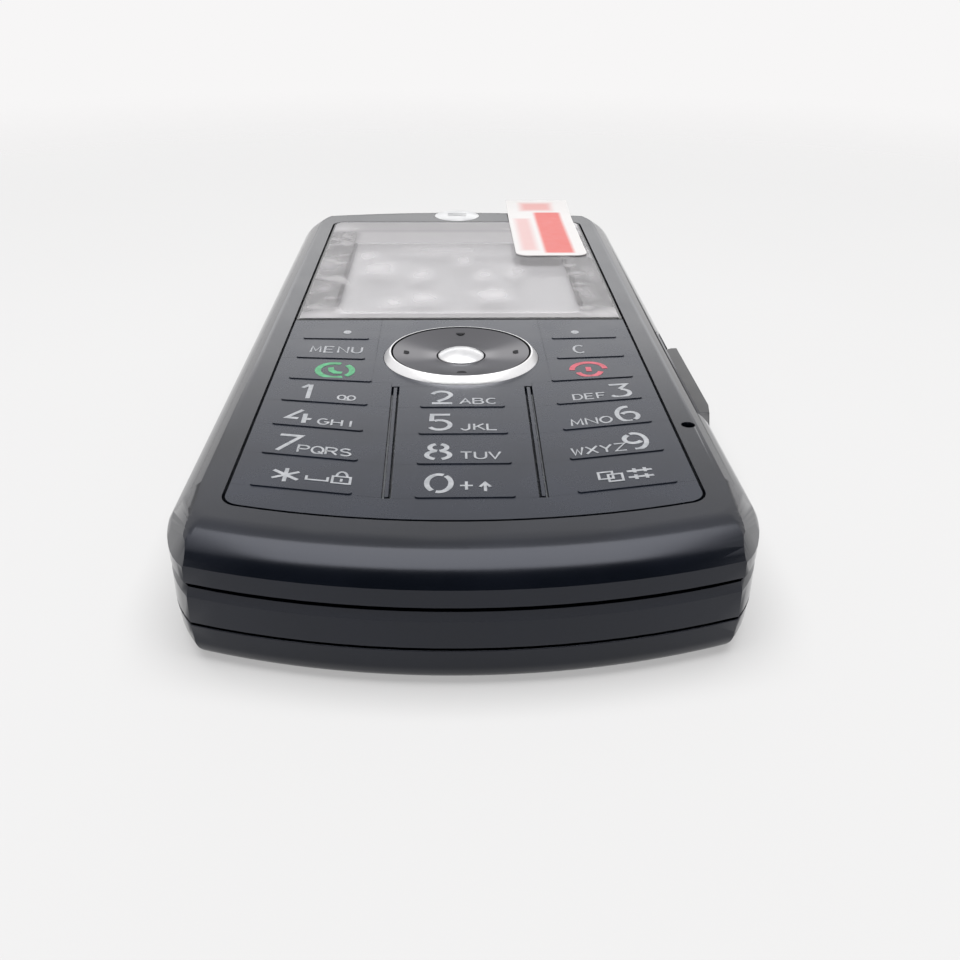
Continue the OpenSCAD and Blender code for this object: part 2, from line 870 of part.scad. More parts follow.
// Soft mat that carries the keypad: it lies on the ledge, and its ribs stand on the board
module keypad_mat() {
    rib_low = board_top + dome_film_t;
    color("#cfd2d6") difference() {
        union() {
            translate([0, 0, ledge_z]) linear_extrude(mat_t) intersection() {
                window(-groove);
                below(keys_top);
            }
            for (s = [-1, 1])
                translate([s * bar_x_low, 0, 0])
                    block([-mat_rib_w / 2, last_row_y + mat_rib_w, rib_low],
                        [mat_rib_w / 2, plate_low - mat_rib_w, ledge_z]);
            translate([0, nav_y, rib_low]) cylinder(r = bezel_r, h = ledge_z - rib_low);
        }
        translate([0, nav_y, rib_low - cut]) cylinder(r = bezel_r - bezel_w, h = ledge_z + mat_t);
        for (p = PLUNGERS)
            translate([p[0], p[1], ledge_z - cut]) cylinder(r = plunger_r + mat_hole, h = mat_t + 2 * cut);
    }
}

PLUNGERS = concat(
    [for (row = [0:rows - 1], s = [-1, 1]) [s * outer_mid_x(row), outer_mid_y(row)]],
    [for (row = [upper_rows:rows - 1]) [0, centre_mid_y(row)]]);
NAV_POSTS = [for (a = [0:90:270]) [nav_post_at * cos(a), nav_y + nav_post_at * sin(a)]];

// Snap domes on their carrier film
module dome_sheet() {
    color(steel) {
        block([-insert_half + ledge_out, last_row_y, board_top],
            [insert_half - ledge_out, keys_top - bay_room, board_top + dome_film_t]);
        for (p = PLUNGERS)
            translate([p[0], p[1], board_top + dome_film_t]) cap(dome_r, dome_h);
        for (p = concat(NAV_POSTS, [[0, nav_y]]))
            translate([p[0], p[1], board_top + dome_film_t]) cap(nav_dome_r, dome_h);
    }
}

module nav_bezel() {
    color(bright) translate([0, nav_y, 0]) rotate_extrude() polygon([
        [bezel_r - bezel_w, mat_top], [bezel_r, mat_top], [bezel_r, face_z],
        [bezel_r - bezel_w + bezel_flat, face_z + bezel_h], [bezel_r - bezel_w, face_z + bezel_h]]);
}

// Soft seat under the navigation key
module nav_rocker() {
    color("#85888d") translate([0, nav_y, plunger_end + nav_gap]) difference() {
        cylinder(r = rocker_out, h = nav_z - plunger_end - 2 * nav_gap);
        translate([0, 0, -cut]) cylinder(r = rocker_in, h = nav_z);
    }
}

// Dished ring that tips four ways, with a post over each of its domes
module nav_key() {
    dish = bezel_h - set_back;
    bore = select_r + play;
    color("#23262c") translate([0, nav_y, 0]) {
        rotate_extrude() difference() {
            translate([bore, nav_z]) square([nav_r - bore, face_z + dish - nav_z]);
            translate([0, face_z + arc_r(nav_r, dish)]) circle(arc_r(nav_r, dish), $fn = 360);
        }
        for (a = [0:90:270])
            rotate([0, 0, a]) translate([nav_post_at, 0, plunger_end])
                cylinder(r = nav_post_r, h = nav_z - plunger_end);
    }
}

module select_key() {
    seat_z = face_z + select_lift;
    color(bright) translate([0, nav_y, 0]) {
        translate([0, 0, seat_z]) cap(select_r, select_dome);
        translate([0, 0, nav_z]) cylinder(r = select_r, h = seat_z - nav_z);
        translate([0, 0, plunger_end]) cylinder(r = select_stem_r, h = nav_z - plunger_end);
    }
}

module soft_key_left() { outer_key(0, -1); }
module soft_key_right() { outer_key(0, 1); }
module menu_key() { outer_key(1, -1); }
module clear_key() { outer_key(1, 1); }
module send_key() { outer_key(2, -1); }
module end_key() { outer_key(2, 1); }
module key_1() { outer_key(3, -1); }
module key_2() { centre_key(3); }
module key_3() { outer_key(3, 1); }
module key_4() { outer_key(4, -1); }
module key_5() { centre_key(4); }
module key_6() { outer_key(4, 1); }
module key_7() { outer_key(5, -1); }
module key_8() { centre_key(5); }
module key_9() { outer_key(5, 1); }
module key_star() { outer_key(6, -1); }
module key_0() { centre_key(6); }
module key_hash() { outer_key(6, 1); }

module main_board() {
    color("#2f5d43") difference() {
        prism(wall + board_room, board_z, board_top);
        at_bosses(board_z - cut) cylinder(r = boss_r + fit, h = board_t + 2 * cut);
    }
}

// Screening cans on the underside of the board
module shield_cans() {
    low = deck_top + set_back;
    color(steel) {
        for (c = TOP_CANS)
            block([c[0][0], half_l - c[0][1], low], [c[1][0], half_l - c[1][1], board_z]);
        block([LOW_CAN[0][0], LOW_CAN[0][1] - half_l, low], [LOW_CAN[1][0], LOW_CAN[1][1] - half_l, board_z]);
    }
}

module battery() {
    x = battery_w / 2;
    color("#3b3d42") difference() {
        block([-x, battery_y, battery_z], [x, 0, battery_z + battery_t]);
        block([-pad_half, -pad_in, contact_z - bay_room], [pad_half, cut, contact_z + contact_h + bay_room]);
    }
}

// Spring contacts that reach into the end of the battery
module battery_contacts() {
    y0 = bay_room + fit;
    color("#c7a45a") {
        block([-pad_half - bay_wall, y0, contact_z - bay_room], [pad_half + bay_wall, y0 + contact_t, deck_z]);
        for (i = [-1:1])
            translate([i * contact_pitch, 0, contact_z])
                block([-contact_w / 2, bay_room - pad_in, 0], [contact_w / 2, y0, contact_h]);
    }
}

module sim_holder() {
    low = deck_z - sim_h;
    inner = sim_half - sim_wall;
    color(steel) difference() {
        block([-sim_half, sim_y0, low], [sim_half, sim_y1, deck_z]);
        block([-inner, sim_y0 - cut, low + sim_wall], [inner, sim_y1 - sim_wall, deck_z - fit]);
        block([-sim_half + sim_rim, sim_y0 + sim_rim, low - cut],
            [sim_half - sim_rim, sim_y1 - sim_rim, low + sim_wall]);
    }
}

module antenna_carrier() {
    low = floor_t + bay_lift;
    y0 = -half_l + antenna_in;
    y1 = battery_y - bay_room - bay_wall - bay_room;
    color("#d6d2c4") difference() {
        block([-antenna_half, y0, low], [antenna_half, y1, deck_z]);
        block([-antenna_half + antenna_wall, y0 + antenna_wall, low - cut],
            [antenna_half - antenna_wall, y1 - antenna_wall, deck_z - antenna_wall]);
    }
}

// Socket for data and charging: a metal shell with a contact tongue
module data_socket() {
    y0 = socket_y - socket_w / 2;
    y1 = socket_y + socket_w / 2;
    color(steel) difference() {
        block([socket_x0, y0, socket_z0], [socket_x1, y1, board_z]);
        block([socket_x0 + 2 * socket_wall, y0 + socket_wall, socket_z0 + socket_wall],
            [socket_x1 + cut, y1 - socket_wall, board_z - socket_wall]);
    }
    color("#222326") translate([0, socket_y, socket_z0 + socket_h / 2])
        block([socket_x0 + socket_wall, -tongue_half, 0], [socket_x1 - tongue_in, tongue_half, tongue_t]);
}

// Soft cover over the socket: it swings on the bead at its far end, and has a nail scoop at its near end
module port_cover() {
    scoop_r = 5;
    scoop_deep = 1.3;
    scoop_in = 0.4;
    color(rubber) {
        difference() {
            union() {
                translate([0, 0, cover_z0]) linear_extrude(cover_h) polygon([
                    [bead_x, -cover_end], [cover_x1, -cover_end], [cover_x1, cover_low + cover_slope],
                    [half_w + set_back, cover_low], [cover_x0, cover_low],
                    [cover_x0, bead_y], [bead_x, bead_y]]);
                translate([bead_x, bead_y, cover_z0]) cylinder(r = bead_r, h = cover_h);
            }
            translate([0, cover_low + scoop_in, cover_z1 + scoop_r - scoop_deep])
                rotate([0, 90, 0]) cylinder(r = scoop_r, h = body_w);
        }
        block([cover_x0 - plug_in, socket_y - plug_half, socket_z0 + socket_wall + bay_room],
            [cover_x0 + root_in, socket_y + plug_half, board_z - socket_wall - bay_room]);
    }
}

// Key of the left side: its face stands out of the middle shell, and a flange keeps it in
module side_key(y, length) {
    z1 = side_z0 + side_h;
    color(navy) {
        block([-half_w - side_out, y - length / 2, side_z0], [-side_flange_x, y + length / 2, z1]);
        block([-side_flange_x, y - length / 2 - side_flange, side_z0],
            [-side_flange_x + side_flange, y + length / 2 + side_flange, z1]);
    }
}

module volume_key() { side_key(volume_y, volume_l); }
module shot_key() { side_key(shot_y, shot_l); }

// Switches behind the side keys, on a strip that hangs from the board
module side_switches() {
    x = -switch_x;
    color("#c9b27a") {
        block([x + switch_t, shot_y - shot_l / 2, side_z0],
            [x + switch_t + strip_t, volume_y + volume_l / 2, board_z]);
        for (y = [shot_y, volume_y - volume_throw, volume_y + volume_throw])
            block([x, y - switch_half, side_z0 + fit], [x + switch_t, y + switch_half, side_z0 + side_h - fit]);
    }
}

module loudspeaker() {
    color("#55575c") translate([0, speaker_y, floor_t]) difference() {
        cylinder(r = speaker_r, h = speaker_h);
        translate([0, 0, -cut]) cylinder(r = speaker_r - speaker_rim, h = cut + speaker_rim / 2);
    }
}

module vibration_motor() {
    color(steel) {
        translate([motor_x, motor_y0 + motor_l, motor_z]) rotate([90, 0, 0]) cylinder(r = motor_r, h = motor_l);
        block([motor_x - motor_r, motor_y0 + boot_in, floor_t],
            [motor_x + motor_r, motor_y0 + motor_l - boot_in, motor_z]);
        translate([motor_x, motor_y0 + motor_l + shaft_out, motor_z])
            rotate([90, 0, 0]) cylinder(r = shaft_r, h = 2 * shaft_out);
    }
}

// Half-round weight on the motor's shaft
module motor_weight() {
    y1 = motor_y0 + motor_l + shaft_out + set_back + weight_l;
    color("#8a8d92") translate([motor_x, y1, motor_z]) rotate([90, 0, 0]) difference() {
        cylinder(r = motor_r, h = weight_l);
        block([-motor_r - cut, weight_rise, -cut], [motor_r + cut, motor_r + cut, weight_l + cut]);
    }
}

module camera_module() {
    low = camera_recess + floor_t;
    color("#2a2b2e") translate([0, camera_y, 0]) {
        block([-camera_half, -camera_half, low + camera_neck], [camera_half, camera_half, deck_z]);
        translate([0, 0, low]) cylinder(r = camera_r + camera_ring_w, h = camera_neck);
    }
}

module camera_lens() {
    color("#3a4250") translate([0, camera_y, camera_recess + floor_t - camera_glass_t])
        cylinder(r = camera_r - fit / 2, h = camera_glass_t);
}

module camera_ring() {
    color(bright) translate([0, camera_y, camera_recess]) difference() {
        cylinder(r = camera_r + camera_ring_w, h = floor_t);
        translate([0, 0, -cut]) cylinder(r = camera_r, h = floor_t + 2 * cut);
    }
}

module case_screws() {
    color(steel) at_bosses(deck_z - screw_head_h) {
        difference() {
            cylinder(r = screw_head_r, h = screw_head_h);
            translate([0, 0, -cut]) cylinder(r = socket_r, h = cut + screw_head_h / 2, $fn = 6);
        }
        translate([0, 0, screw_head_h]) cylinder(r = screw_r, h = deck_t + screw_grip);
    }
}

front_housing();
middle_housing();
rear_cover();
battery_door();
door_latch();
display_lens();
display_module();
display_gasket();
screen_film();
film_tab();
earpiece_grille();
earpiece_receiver();
microphone();
keypad_plate();
divider_bars();
keypad_mat();
dome_sheet();
nav_bezel();
nav_rocker();
nav_key();
select_key();
soft_key_left();
soft_key_right();
menu_key();
clear_key();
send_key();
end_key();
key_1();
key_2();
key_3();
key_4();
key_5();
key_6();
key_7();
key_8();
key_9();
key_star();
key_0();
key_hash();
main_board();
shield_cans();
battery();
battery_contacts();
sim_holder();
antenna_carrier();
data_socket();
port_cover();
volume_key();
shot_key();
side_switches();
loudspeaker();
vibration_motor();
motor_weight();
camera_module();
camera_lens();
camera_ring();
case_screws();
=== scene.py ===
# Looks of a slim bar phone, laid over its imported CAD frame. Metres, in the CAD frame.
import math

import bmesh
import bpy
from mathutils import Matrix, Vector


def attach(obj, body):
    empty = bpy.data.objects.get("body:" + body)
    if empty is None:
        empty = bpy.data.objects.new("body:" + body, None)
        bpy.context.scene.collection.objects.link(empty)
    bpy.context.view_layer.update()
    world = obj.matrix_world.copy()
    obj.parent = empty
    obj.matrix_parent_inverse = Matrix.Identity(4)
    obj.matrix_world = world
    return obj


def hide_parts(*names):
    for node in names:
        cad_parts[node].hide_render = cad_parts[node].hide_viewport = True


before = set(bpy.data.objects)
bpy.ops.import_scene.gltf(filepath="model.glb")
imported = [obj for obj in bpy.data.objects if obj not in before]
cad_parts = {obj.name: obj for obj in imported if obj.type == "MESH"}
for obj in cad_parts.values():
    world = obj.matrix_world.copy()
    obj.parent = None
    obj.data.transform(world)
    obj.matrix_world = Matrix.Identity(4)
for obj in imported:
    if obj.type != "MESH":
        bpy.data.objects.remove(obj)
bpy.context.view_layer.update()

MM = 0.001
# Height of the front face, in mm
FACE = 11.3
# Height where the flat part of a key begins, in mm
KEY_LOW = 10.65
# On the keypad only what stands this high is eased, in mm, keys and plate grow this far to meet, in mm, and the
# ridges between the rows keep this share of their height
RIDGE_FROM = FACE + 0.05
CLOSE_UP = 0.028
RIDGE_KEPT = 0.55
# Bends in degrees: flatter ones are merged, gentler ones are shaded smooth, and sharper ones are eased
FLAT_BEND, SMOOTH_BEND, SHARP_BEND = 0.4, 14, 38
# Half width of the display's opening, in mm
VIEW_HALF = 15.3
# How far the edges of the film's blisters wander, in mm
RAGGED = 1.2

# Upright wall of the front shell: what its foot lies below, its top, and how far out it stands at least, in mm
WALL_FOOT, WALL_TOP, WALL_OUT = 7.6, 9, 20
# Cuts along the front shell's side: inset and height of a point in mm, and the cut's lean from level in degrees
BAND_CUTS = ((2.6, FACE, 31), (1.1, 10.307, 37), (1.1, 10.307, 48), (0, 8.775, 60))
# Near corners: middle and radius in mm, and the turns of their cuts in degrees
CORNER_X, CORNER_Y, CORNER_R = 9.35, -44, 15
CORNER_TURNS = [1.5 * step for step in range(2, 29)]
# Turn in degrees where the band starts to change there, and the turn that the change takes
CHANGE_FROM, CHANGE_OVER = 5, 16
# How much nearer to the edge the crease then lies in mm, and how much steeper the band is in degrees
CREASE_OUT, STEEPER = 1.4, 33
# Most that a near corner is trimmed in mm, and the turn in degrees in which that comes and goes
TRIM, TRIM_OVER = 0.2, 33
# The lower cut there: inset, height and lean, as above
CORNER_FOOT = 0, 9, 62
# Size of the block that the cuts are made in, in mm
BLOCK = 300
# Shoulder's end beyond the port cover: what it lies outside of, where its slant begins, and its place along the
# side, in mm. It then runs this far along the band for each step outward
SHOULDER_X, SLANT_X, SHOULDER_Y = 22.6, 22.65, -5.1
RUN_OUT = 2.75

# Middle of the navigation key, in mm
NAV_Y = -14.13
# Thickness of the printed legends, in mm, and what each further stroke adds
PRINT = 0.02
STROKE = 0.002
# Colour of the cards that only reflections see
CARD_BLACK = "#0a0b0d"

KEYS = ["soft_key_left", "soft_key_right", "menu_key", "clear_key", "send_key", "end_key", "key_1", "key_2",
        "key_3", "key_4", "key_5", "key_6", "key_7", "key_8", "key_9", "key_star", "key_0", "key_hash"]


def linear(code):
    """Linear RGBA of an sRGB hex colour."""
    parts = [int(code[i:i + 2], 16) / 255 for i in (1, 3, 5)]
    return [c / 12.92 if c <= 0.04045 else ((c + 0.055) / 1.055) ** 2.4 for c in parts] + [1.0]


def add(tree, kind, settings=None, links=None):
    """Adds a node with its settings. Each link is a plain value, a socket, or a node's first output."""
    made = tree.nodes.new(kind)
    for key, value in (settings or {}).items():
        setattr(made, key, value)
    for key, value in (links or {}).items():
        if isinstance(value, bpy.types.Node):
            value = value.outputs[0]
        if isinstance(value, bpy.types.NodeSocket):
            tree.links.new(value, made.inputs[key])
        else:
            made.inputs[key].default_value = value
    return made


def begin(name):
    """An empty material, its tree and its Object coordinates."""
    material = bpy.data.materials.new(name)
    material.use_nodes = True
    material.node_tree.nodes.clear()
    return material, material.node_tree, add(material.node_tree, "ShaderNodeTexCoord").outputs["Object"]


def close(tree, links, relief=None, depth_mm=0.01, strength=1.0):
    """Ends a tree in a Principled shader, with a relief of that depth if one is given."""
    if relief is not None:
        links = dict(links, Normal=add(tree, "ShaderNodeBump", links={
            "Strength": strength, "Distance": depth_mm * MM, "Height": relief}))
    shader = add(tree, "ShaderNodeBsdfPrincipled", links=links)
    add(tree, "ShaderNodeOutputMaterial", links={"Surface": shader})


def finish(name, dark, light, drift_mm, smooth, rough, grain_mm, depth_mm, stretch=(1, 1, 1), rubbed_mm=0,
           **sockets):
    """A finish that drifts between two colours and two roughnesses, with a relief of that grain size.

    Further than the rubbed distance from the middle line it is smoother."""
    material, tree, place = begin(name)
    turned = add(tree, "ShaderNodeMapping", links={"Vector": place, "Scale": stretch})
    drift = add(tree, "ShaderNodeTexNoise", links={"Vector": place, "Scale": 1 / (drift_mm * MM), "Detail": 4.0})
    grain = add(tree, "ShaderNodeTexNoise", links={"Vector": turned, "Scale": 1 / (grain_mm * MM), "Detail": 3.0})
    share = add(tree, "ShaderNodeMapRange", links={"Value": drift, "From Min": 0.35, "From Max": 0.65})
    colour = add(tree, "ShaderNodeMix", {"data_type": "RGBA"}, {0: share, 6: linear(dark), 7: linear(light)})
    both = add(tree, "ShaderNodeMath", {"operation": "MULTIPLY_ADD"}, {0: grain, 1: 0.4, 2: drift})
    gloss = add(tree, "ShaderNodeMapRange", links={
        "Value": both, "From Min": 0.5, "From Max": 0.9, "To Min": smooth, "To Max": rough})
    if rubbed_mm:
        apart = add(tree, "ShaderNodeSeparateXYZ", links={"Vector": place})
        out = add(tree, "ShaderNodeMath", {"operation": "ABSOLUTE"}, {0: apart.outputs["X"]})
        worn = add(tree, "ShaderNodeMapRange", links={
            "Value": out, "From Min": (rubbed_mm - 0.3) * MM, "From Max": (rubbed_mm + 0.3) * MM,
            "To Min": 1.0, "To Max": 0.3})
        gloss = add(tree, "ShaderNodeMath", {"operation": "MULTIPLY"}, {0: gloss, 1: worn})
    links = {"Base Color": colour.outputs[2], "Roughness": gloss}
    links.update({key.replace("_", " "): value for key, value in sockets.items()})
    close(tree, links, grain, depth_mm)
    return material


# Satin lacquer on moulded ABS: nearly black navy, and a soft clear sheen that whitens at a low
# angle, most of all along the sides, which hands have rubbed smooth
lacquer = finish("satin_navy_lacquer", "#0c1017", "#11151e", 9, 0.2, 0.25, 0.22, 0.0001, rubbed_mm=21.6, IOR=1.46,
                 Specular_Tint=linear("#eff2ff"))
# The keypad's coated sheet: a little bluer and flatter than the shells
coating = finish("keypad_satin_coating", "#10141c", "#151a24", 6, 0.24, 0.29, 0.16, 0.00006, IOR=1.475,
                 Specular_Tint=linear("#dae3ff"))
# Bright nickel and chrome plating, polished: white at every angle, with a faint ripple
chrome = finish("polished_chrome_plating", "#d9dcdf", "#eceef0", 3, 0.08, 0.16, 0.6, 0.0008, Metallic=1.0)
# Bead-blasted plating on the select key: silver without a clear reflection
silver = finish("satin_nickel_plating", "#d8d9db", "#e8e8e9", 2, 0.28, 0.36, 0.09, 0.001, Metallic=1.0)
# Brushed nickel of the earpiece: greyer, with fine lines across
insert = finish("brushed_nickel_insert", "#d2d3d5", "#e0e1e2", 2, 0.32, 0.42, 0.12, 0.001, (0.1, 1, 1), Metallic=1.0)
# Silver ink under a hard coat: pale and slightly metallic, with an edge that scatters
ink = finish("silver_legend_ink", "#a6a9ae", "#c1c3c7", 0.8, 0.35, 0.5, 0.08, 0.001, Metallic=0.35)
green_ink = finish("green_legend_ink", "#3f9a63", "#5fc08a", 0.8, 0.35, 0.5, 0.08, 0.001)
red_ink = finish("red_legend_ink", "#c8485a", "#e2697a", 0.8, 0.35, 0.5, 0.08, 0.001)
# Soft thermoplastic rubber: matt, dark grey, with a fine spark-eroded grain
rubber = finish("soft_grey_rubber", "#1f2023", "#27282b", 5, 0.3, 0.38, 0.13, 0.001, IOR=1.5)
# Clear silicone rubber: milky
silicone = finish("milky_silicone_rubber", "#b9bcc1", "#cdd0d4", 4, 0.4, 0.55, 0.3, 0.003, IOR=1.41)
# Open-cell foam tape: black, fully matt, pitted
foam = finish("black_foam_tape", "#141416", "#222327", 0.9, 0.85, 0.95, 0.12, 0.02)
# Tinned sheet steel of the cans and frames: grey with rolling lines along the sheet
tin = finish("tinned_sheet_steel", "#9a9da1", "#b7babd", 4, 0.28, 0.42, 0.5, 0.002, (1, 0.04, 1), Metallic=1.0)
# Gold-flashed contacts: warm yellow, worn a little where they wipe
gold = finish("gold_flashed_contacts", "#b08a3c", "#d2ac5a", 0.9, 0.2, 0.36, 0.2, 0.001, Metallic=1.0)
# Glass-filled nylon of the inner mouldings: near black with short pale fibres in it
nylon = finish("glass_filled_nylon", "#1d1e20", "#35373a", 0.5, 0.5, 0.65, 0.18, 0.004)
# Cell wrapped in printed film: dark grey, slightly glossy
wrap = finish("battery_wrap_film", "#2c2e32", "#3a3c41", 7, 0.3, 0.42, 1.4, 0.003, IOR=1.46)
# Sintered tungsten weight: dull grey and grainy
sintered = finish("sintered_tungsten", "#6f7276", "#8b8e92", 0.6, 0.45, 0.6, 0.12, 0.006, Metallic=1.0)
# Coated camera glass: black with a blue-violet bloom
camera_glass = finish("coated_camera_glass", "#05070c", "#0d1430", 1.6, 0.03, 0.06, 2.0, 0.0002, IOR=1.7)


def from_middle(tree, place):
    """X and Y from the middle of the navigation key, and the distance from it."""
    centred = add(tree, "ShaderNodeMapping", links={"Vector": place, "Location": (0, -NAV_Y * MM, 0)})
    apart = add(tree, "ShaderNodeSeparateXYZ", links={"Vector": centred})
    flat = add(tree, "ShaderNodeCombineXYZ", links={"X": apart.outputs["X"], "Y": apart.outputs["Y"]})
    away = add(tree, "ShaderNodeVectorMath", {"operation": "LENGTH"}, {0: flat})
    return centred, apart.outputs["X"], apart.outputs["Y"], away.outputs["Value"]


def spun_dish():
    """Dark plating turned on a lathe: fine rings round the select key, and two pale fans of painted highlight, where
    the rings would catch light.
    """
    material, tree, place = begin("turned_plating_with_painted_fans")
    centred, x, y, away = from_middle(tree, place)
    rings = add(tree, "ShaderNodeTexWave", {"wave_type": "RINGS", "rings_direction": "Z"}, {
        "Vector": centred, "Scale": 1 / (1.2 * MM), "Distortion": 0.6, "Detail": 2.0})
    # Painted highlight: pale fans to the left and right of the select key, brightest next to it
    sizes = [add(tree, "ShaderNodeMath", {"operation": "ABSOLUTE"}, {0: side}) for side in (y, x)]
    turn = add(tree, "ShaderNodeMath", {"operation": "ARCTAN2"}, {0: sizes[0], 1: sizes[1]})
    fan_highlight_mask = add(tree, "ShaderNodeMapRange", {"interpolation_type": "SMOOTHSTEP"}, {
        "Value": turn, "From Min": 0.12, "From Max": 0.62, "To Min": 1.0, "To Max": 0.0})
    inner = add(tree, "ShaderNodeMapRange", {"interpolation_type": "SMOOTHSTEP"}, {
        "Value": away, "From Min": 2.6 * MM, "From Max": 4.6 * MM, "To Min": 1.0, "To Max": 0.55})
    pale = add(tree, "ShaderNodeMath", {"operation": "MULTIPLY"}, {0: fan_highlight_mask, 1: inner})
    rings_and_painted_fans = add(tree, "ShaderNodeMath", {"operation": "MULTIPLY_ADD"}, {0: rings.outputs["Fac"], 1: 0.006, 2: pale})
    # The dark base turns a hair lighter towards the far side
    far = add(tree, "ShaderNodeMapRange", links={"Value": y, "From Min": -6 * MM, "From Max": 4 * MM})
    dark = add(tree, "ShaderNodeMix", {"data_type": "RGBA"}, {0: far, 6: linear("#707073"), 7: linear("#717174")})
    # Painted highlight: the fans mix a pale colour into the dark base
    colour = add(tree, "ShaderNodeMix", {"data_type": "RGBA"}, {0: rings_and_painted_fans, 6: dark.outputs[2], 7: linear("#a3a2a4")})
    gloss = add(tree, "ShaderNodeMapRange", links={"Value": rings.outputs["Fac"], "To Min": 0.28, "To Max": 0.285})
    around = add(tree, "ShaderNodeTangent", {"direction_type": "RADIAL", "axis": "Z"})
    close(tree, {"Base Color": colour.outputs[2], "Metallic": 1.0, "Roughness": gloss, "Anisotropic": 0.8,
                 "Tangent": around, "Specular Tint": linear("#c6c6c8")}, rings.outputs["Fac"], 0.00002)
    return material


def plated_bezel():
    """Bead-blasted plating, bright on the ring's outside slope, with painted shade: its wall towards the dish is
    coloured dark.
    """
    material, tree, place = begin("satin_plated_bezel")
    *_, away = from_middle(tree, place)
    grain = add(tree, "ShaderNodeTexNoise", links={"Vector": place, "Scale": 1 / (0.3 * MM), "Detail": 3.0})
    # Painted shade: a dark colour on the wall towards the dish, the plating's bright colour on the slope outside it
    painted_wall_shade_edge = add(tree, "ShaderNodeMapRange", links={"Value": away, "From Min": 7.54 * MM, "From Max": 7.6 * MM})
    bright = add(tree, "ShaderNodeMix", {"data_type": "RGBA"}, {0: grain, 6: linear("#eeeef0"), 7: linear("#f8f8f8")})
    colour = add(tree, "ShaderNodeMix", {"data_type": "RGBA"}, {0: painted_wall_shade_edge, 6: linear("#2b2d31"), 7: bright.outputs[2]})
    gloss = add(tree, "ShaderNodeMapRange", links={"Value": grain, "To Min": 0.26, "To Max": 0.36})
    close(tree, {"Base Color": colour.outputs[2], "Metallic": 1.0, "Roughness": gloss}, grain, 0.0006)
    return material


def box_mask(tree, place, x0, x1, y0, y1, soft):
    """1 inside a box of the face, in mm, and 0 outside, over a soft edge."""
    apart = add(tree, "ShaderNodeSeparateXYZ", links={"Vector": place})
    far = []
    for axis, low, high in (("X", x0, x1), ("Y", y0, y1)):
        off = add(tree, "ShaderNodeMath", {"operation": "SUBTRACT"}, {
            0: apart.outputs[axis], 1: (low + high) / 2 * MM})
        size = add(tree, "ShaderNodeMath", {"operation": "ABSOLUTE"}, {0: off})
        far.append(add(tree, "ShaderNodeMath", {"operation": "SUBTRACT"}, {0: size, 1: (high - low) / 2 * MM}))
    most = add(tree, "ShaderNodeMath", {"operation": "SMOOTH_MAX"}, {0: far[0], 1: far[1], 2: 0.8 * MM})
    return add(tree, "ShaderNodeMapRange", {"interpolation_type": "SMOOTHSTEP"}, {
        "Value": most, "From Min": -soft * MM, "From Max": soft * MM, "To Min": 1.0, "To Max": 0.0})


def clear_lens():
    """Cast acrylic lens with a black print behind its border: clear over the display, deep gloss round it."""
    material, tree, place = begin("acrylic_lens_with_border_print")
    opening = box_mask(tree, place, -VIEW_HALF, VIEW_HALF, 0.3, 39.6, 0.3)
    cover = add(tree, "ShaderNodeMapRange", links={"Value": opening, "To Min": 1.0, "To Max": 0.05})
    smear = add(tree, "ShaderNodeTexNoise", links={"Vector": place, "Scale": 1 / (11 * MM), "Detail": 3.0})
    gloss = add(tree, "ShaderNodeMapRange", links={"Value": smear, "To Min": 0.03, "To Max": 0.12})
    tone = add(tree, "ShaderNodeMix", {"data_type": "RGBA"}, {0: smear, 6: linear("#08090c"), 7: linear("#0f1116")})
    close(tree, {"Base Color": tone.outputs[2], "Roughness": gloss, "IOR": 1.49, "Specular IOR Level": 0.15,
                 "Alpha": cover}, smear, 0.0006)
    return material


# Blisters of air under the film: middle, half width and half length in mm, and how pale they are
BLISTERS = [(-10.8, 19.6, 3.1, 4.4, 0.7), (-5.0, 16.9, 1.6, 3.2, 0.7), (0.7, 23.8, 1.6, 3.4, 0.6),
            (3.4, 16.6, 1.5, 2.6, 0.6), (7.9, 18.2, 1.5, 3.2, 0.6), (-8.2, 4.7, 1.8, 2.3, 0.7),
            (-4.6, 6.3, 2.2, 2.8, 0.9), (4.4, 7.5, 2.5, 3.1, 1.0), (-1.3, 29.1, 10.5, 3.2, 0.5),
            (-17.9, 21.8, 2.3, 5.0, 0.8), (-17.5, 10.6, 1.7, 2.4, 0.8), (-16.2, 1.2, 2.3, 2.9, 0.9),
            (-17.8, 41.6, 2.8, 2.9, 0.6), (16.4, 8.0, 1.4, 3.1, 0.7), (17.9, 16.8, 1.2, 4.1, 0.6),
            (-12.8, 26.1, 1.9, 3.2, 0.6), (17.1, 1.2, 2.2, 2.4, 0.9)]


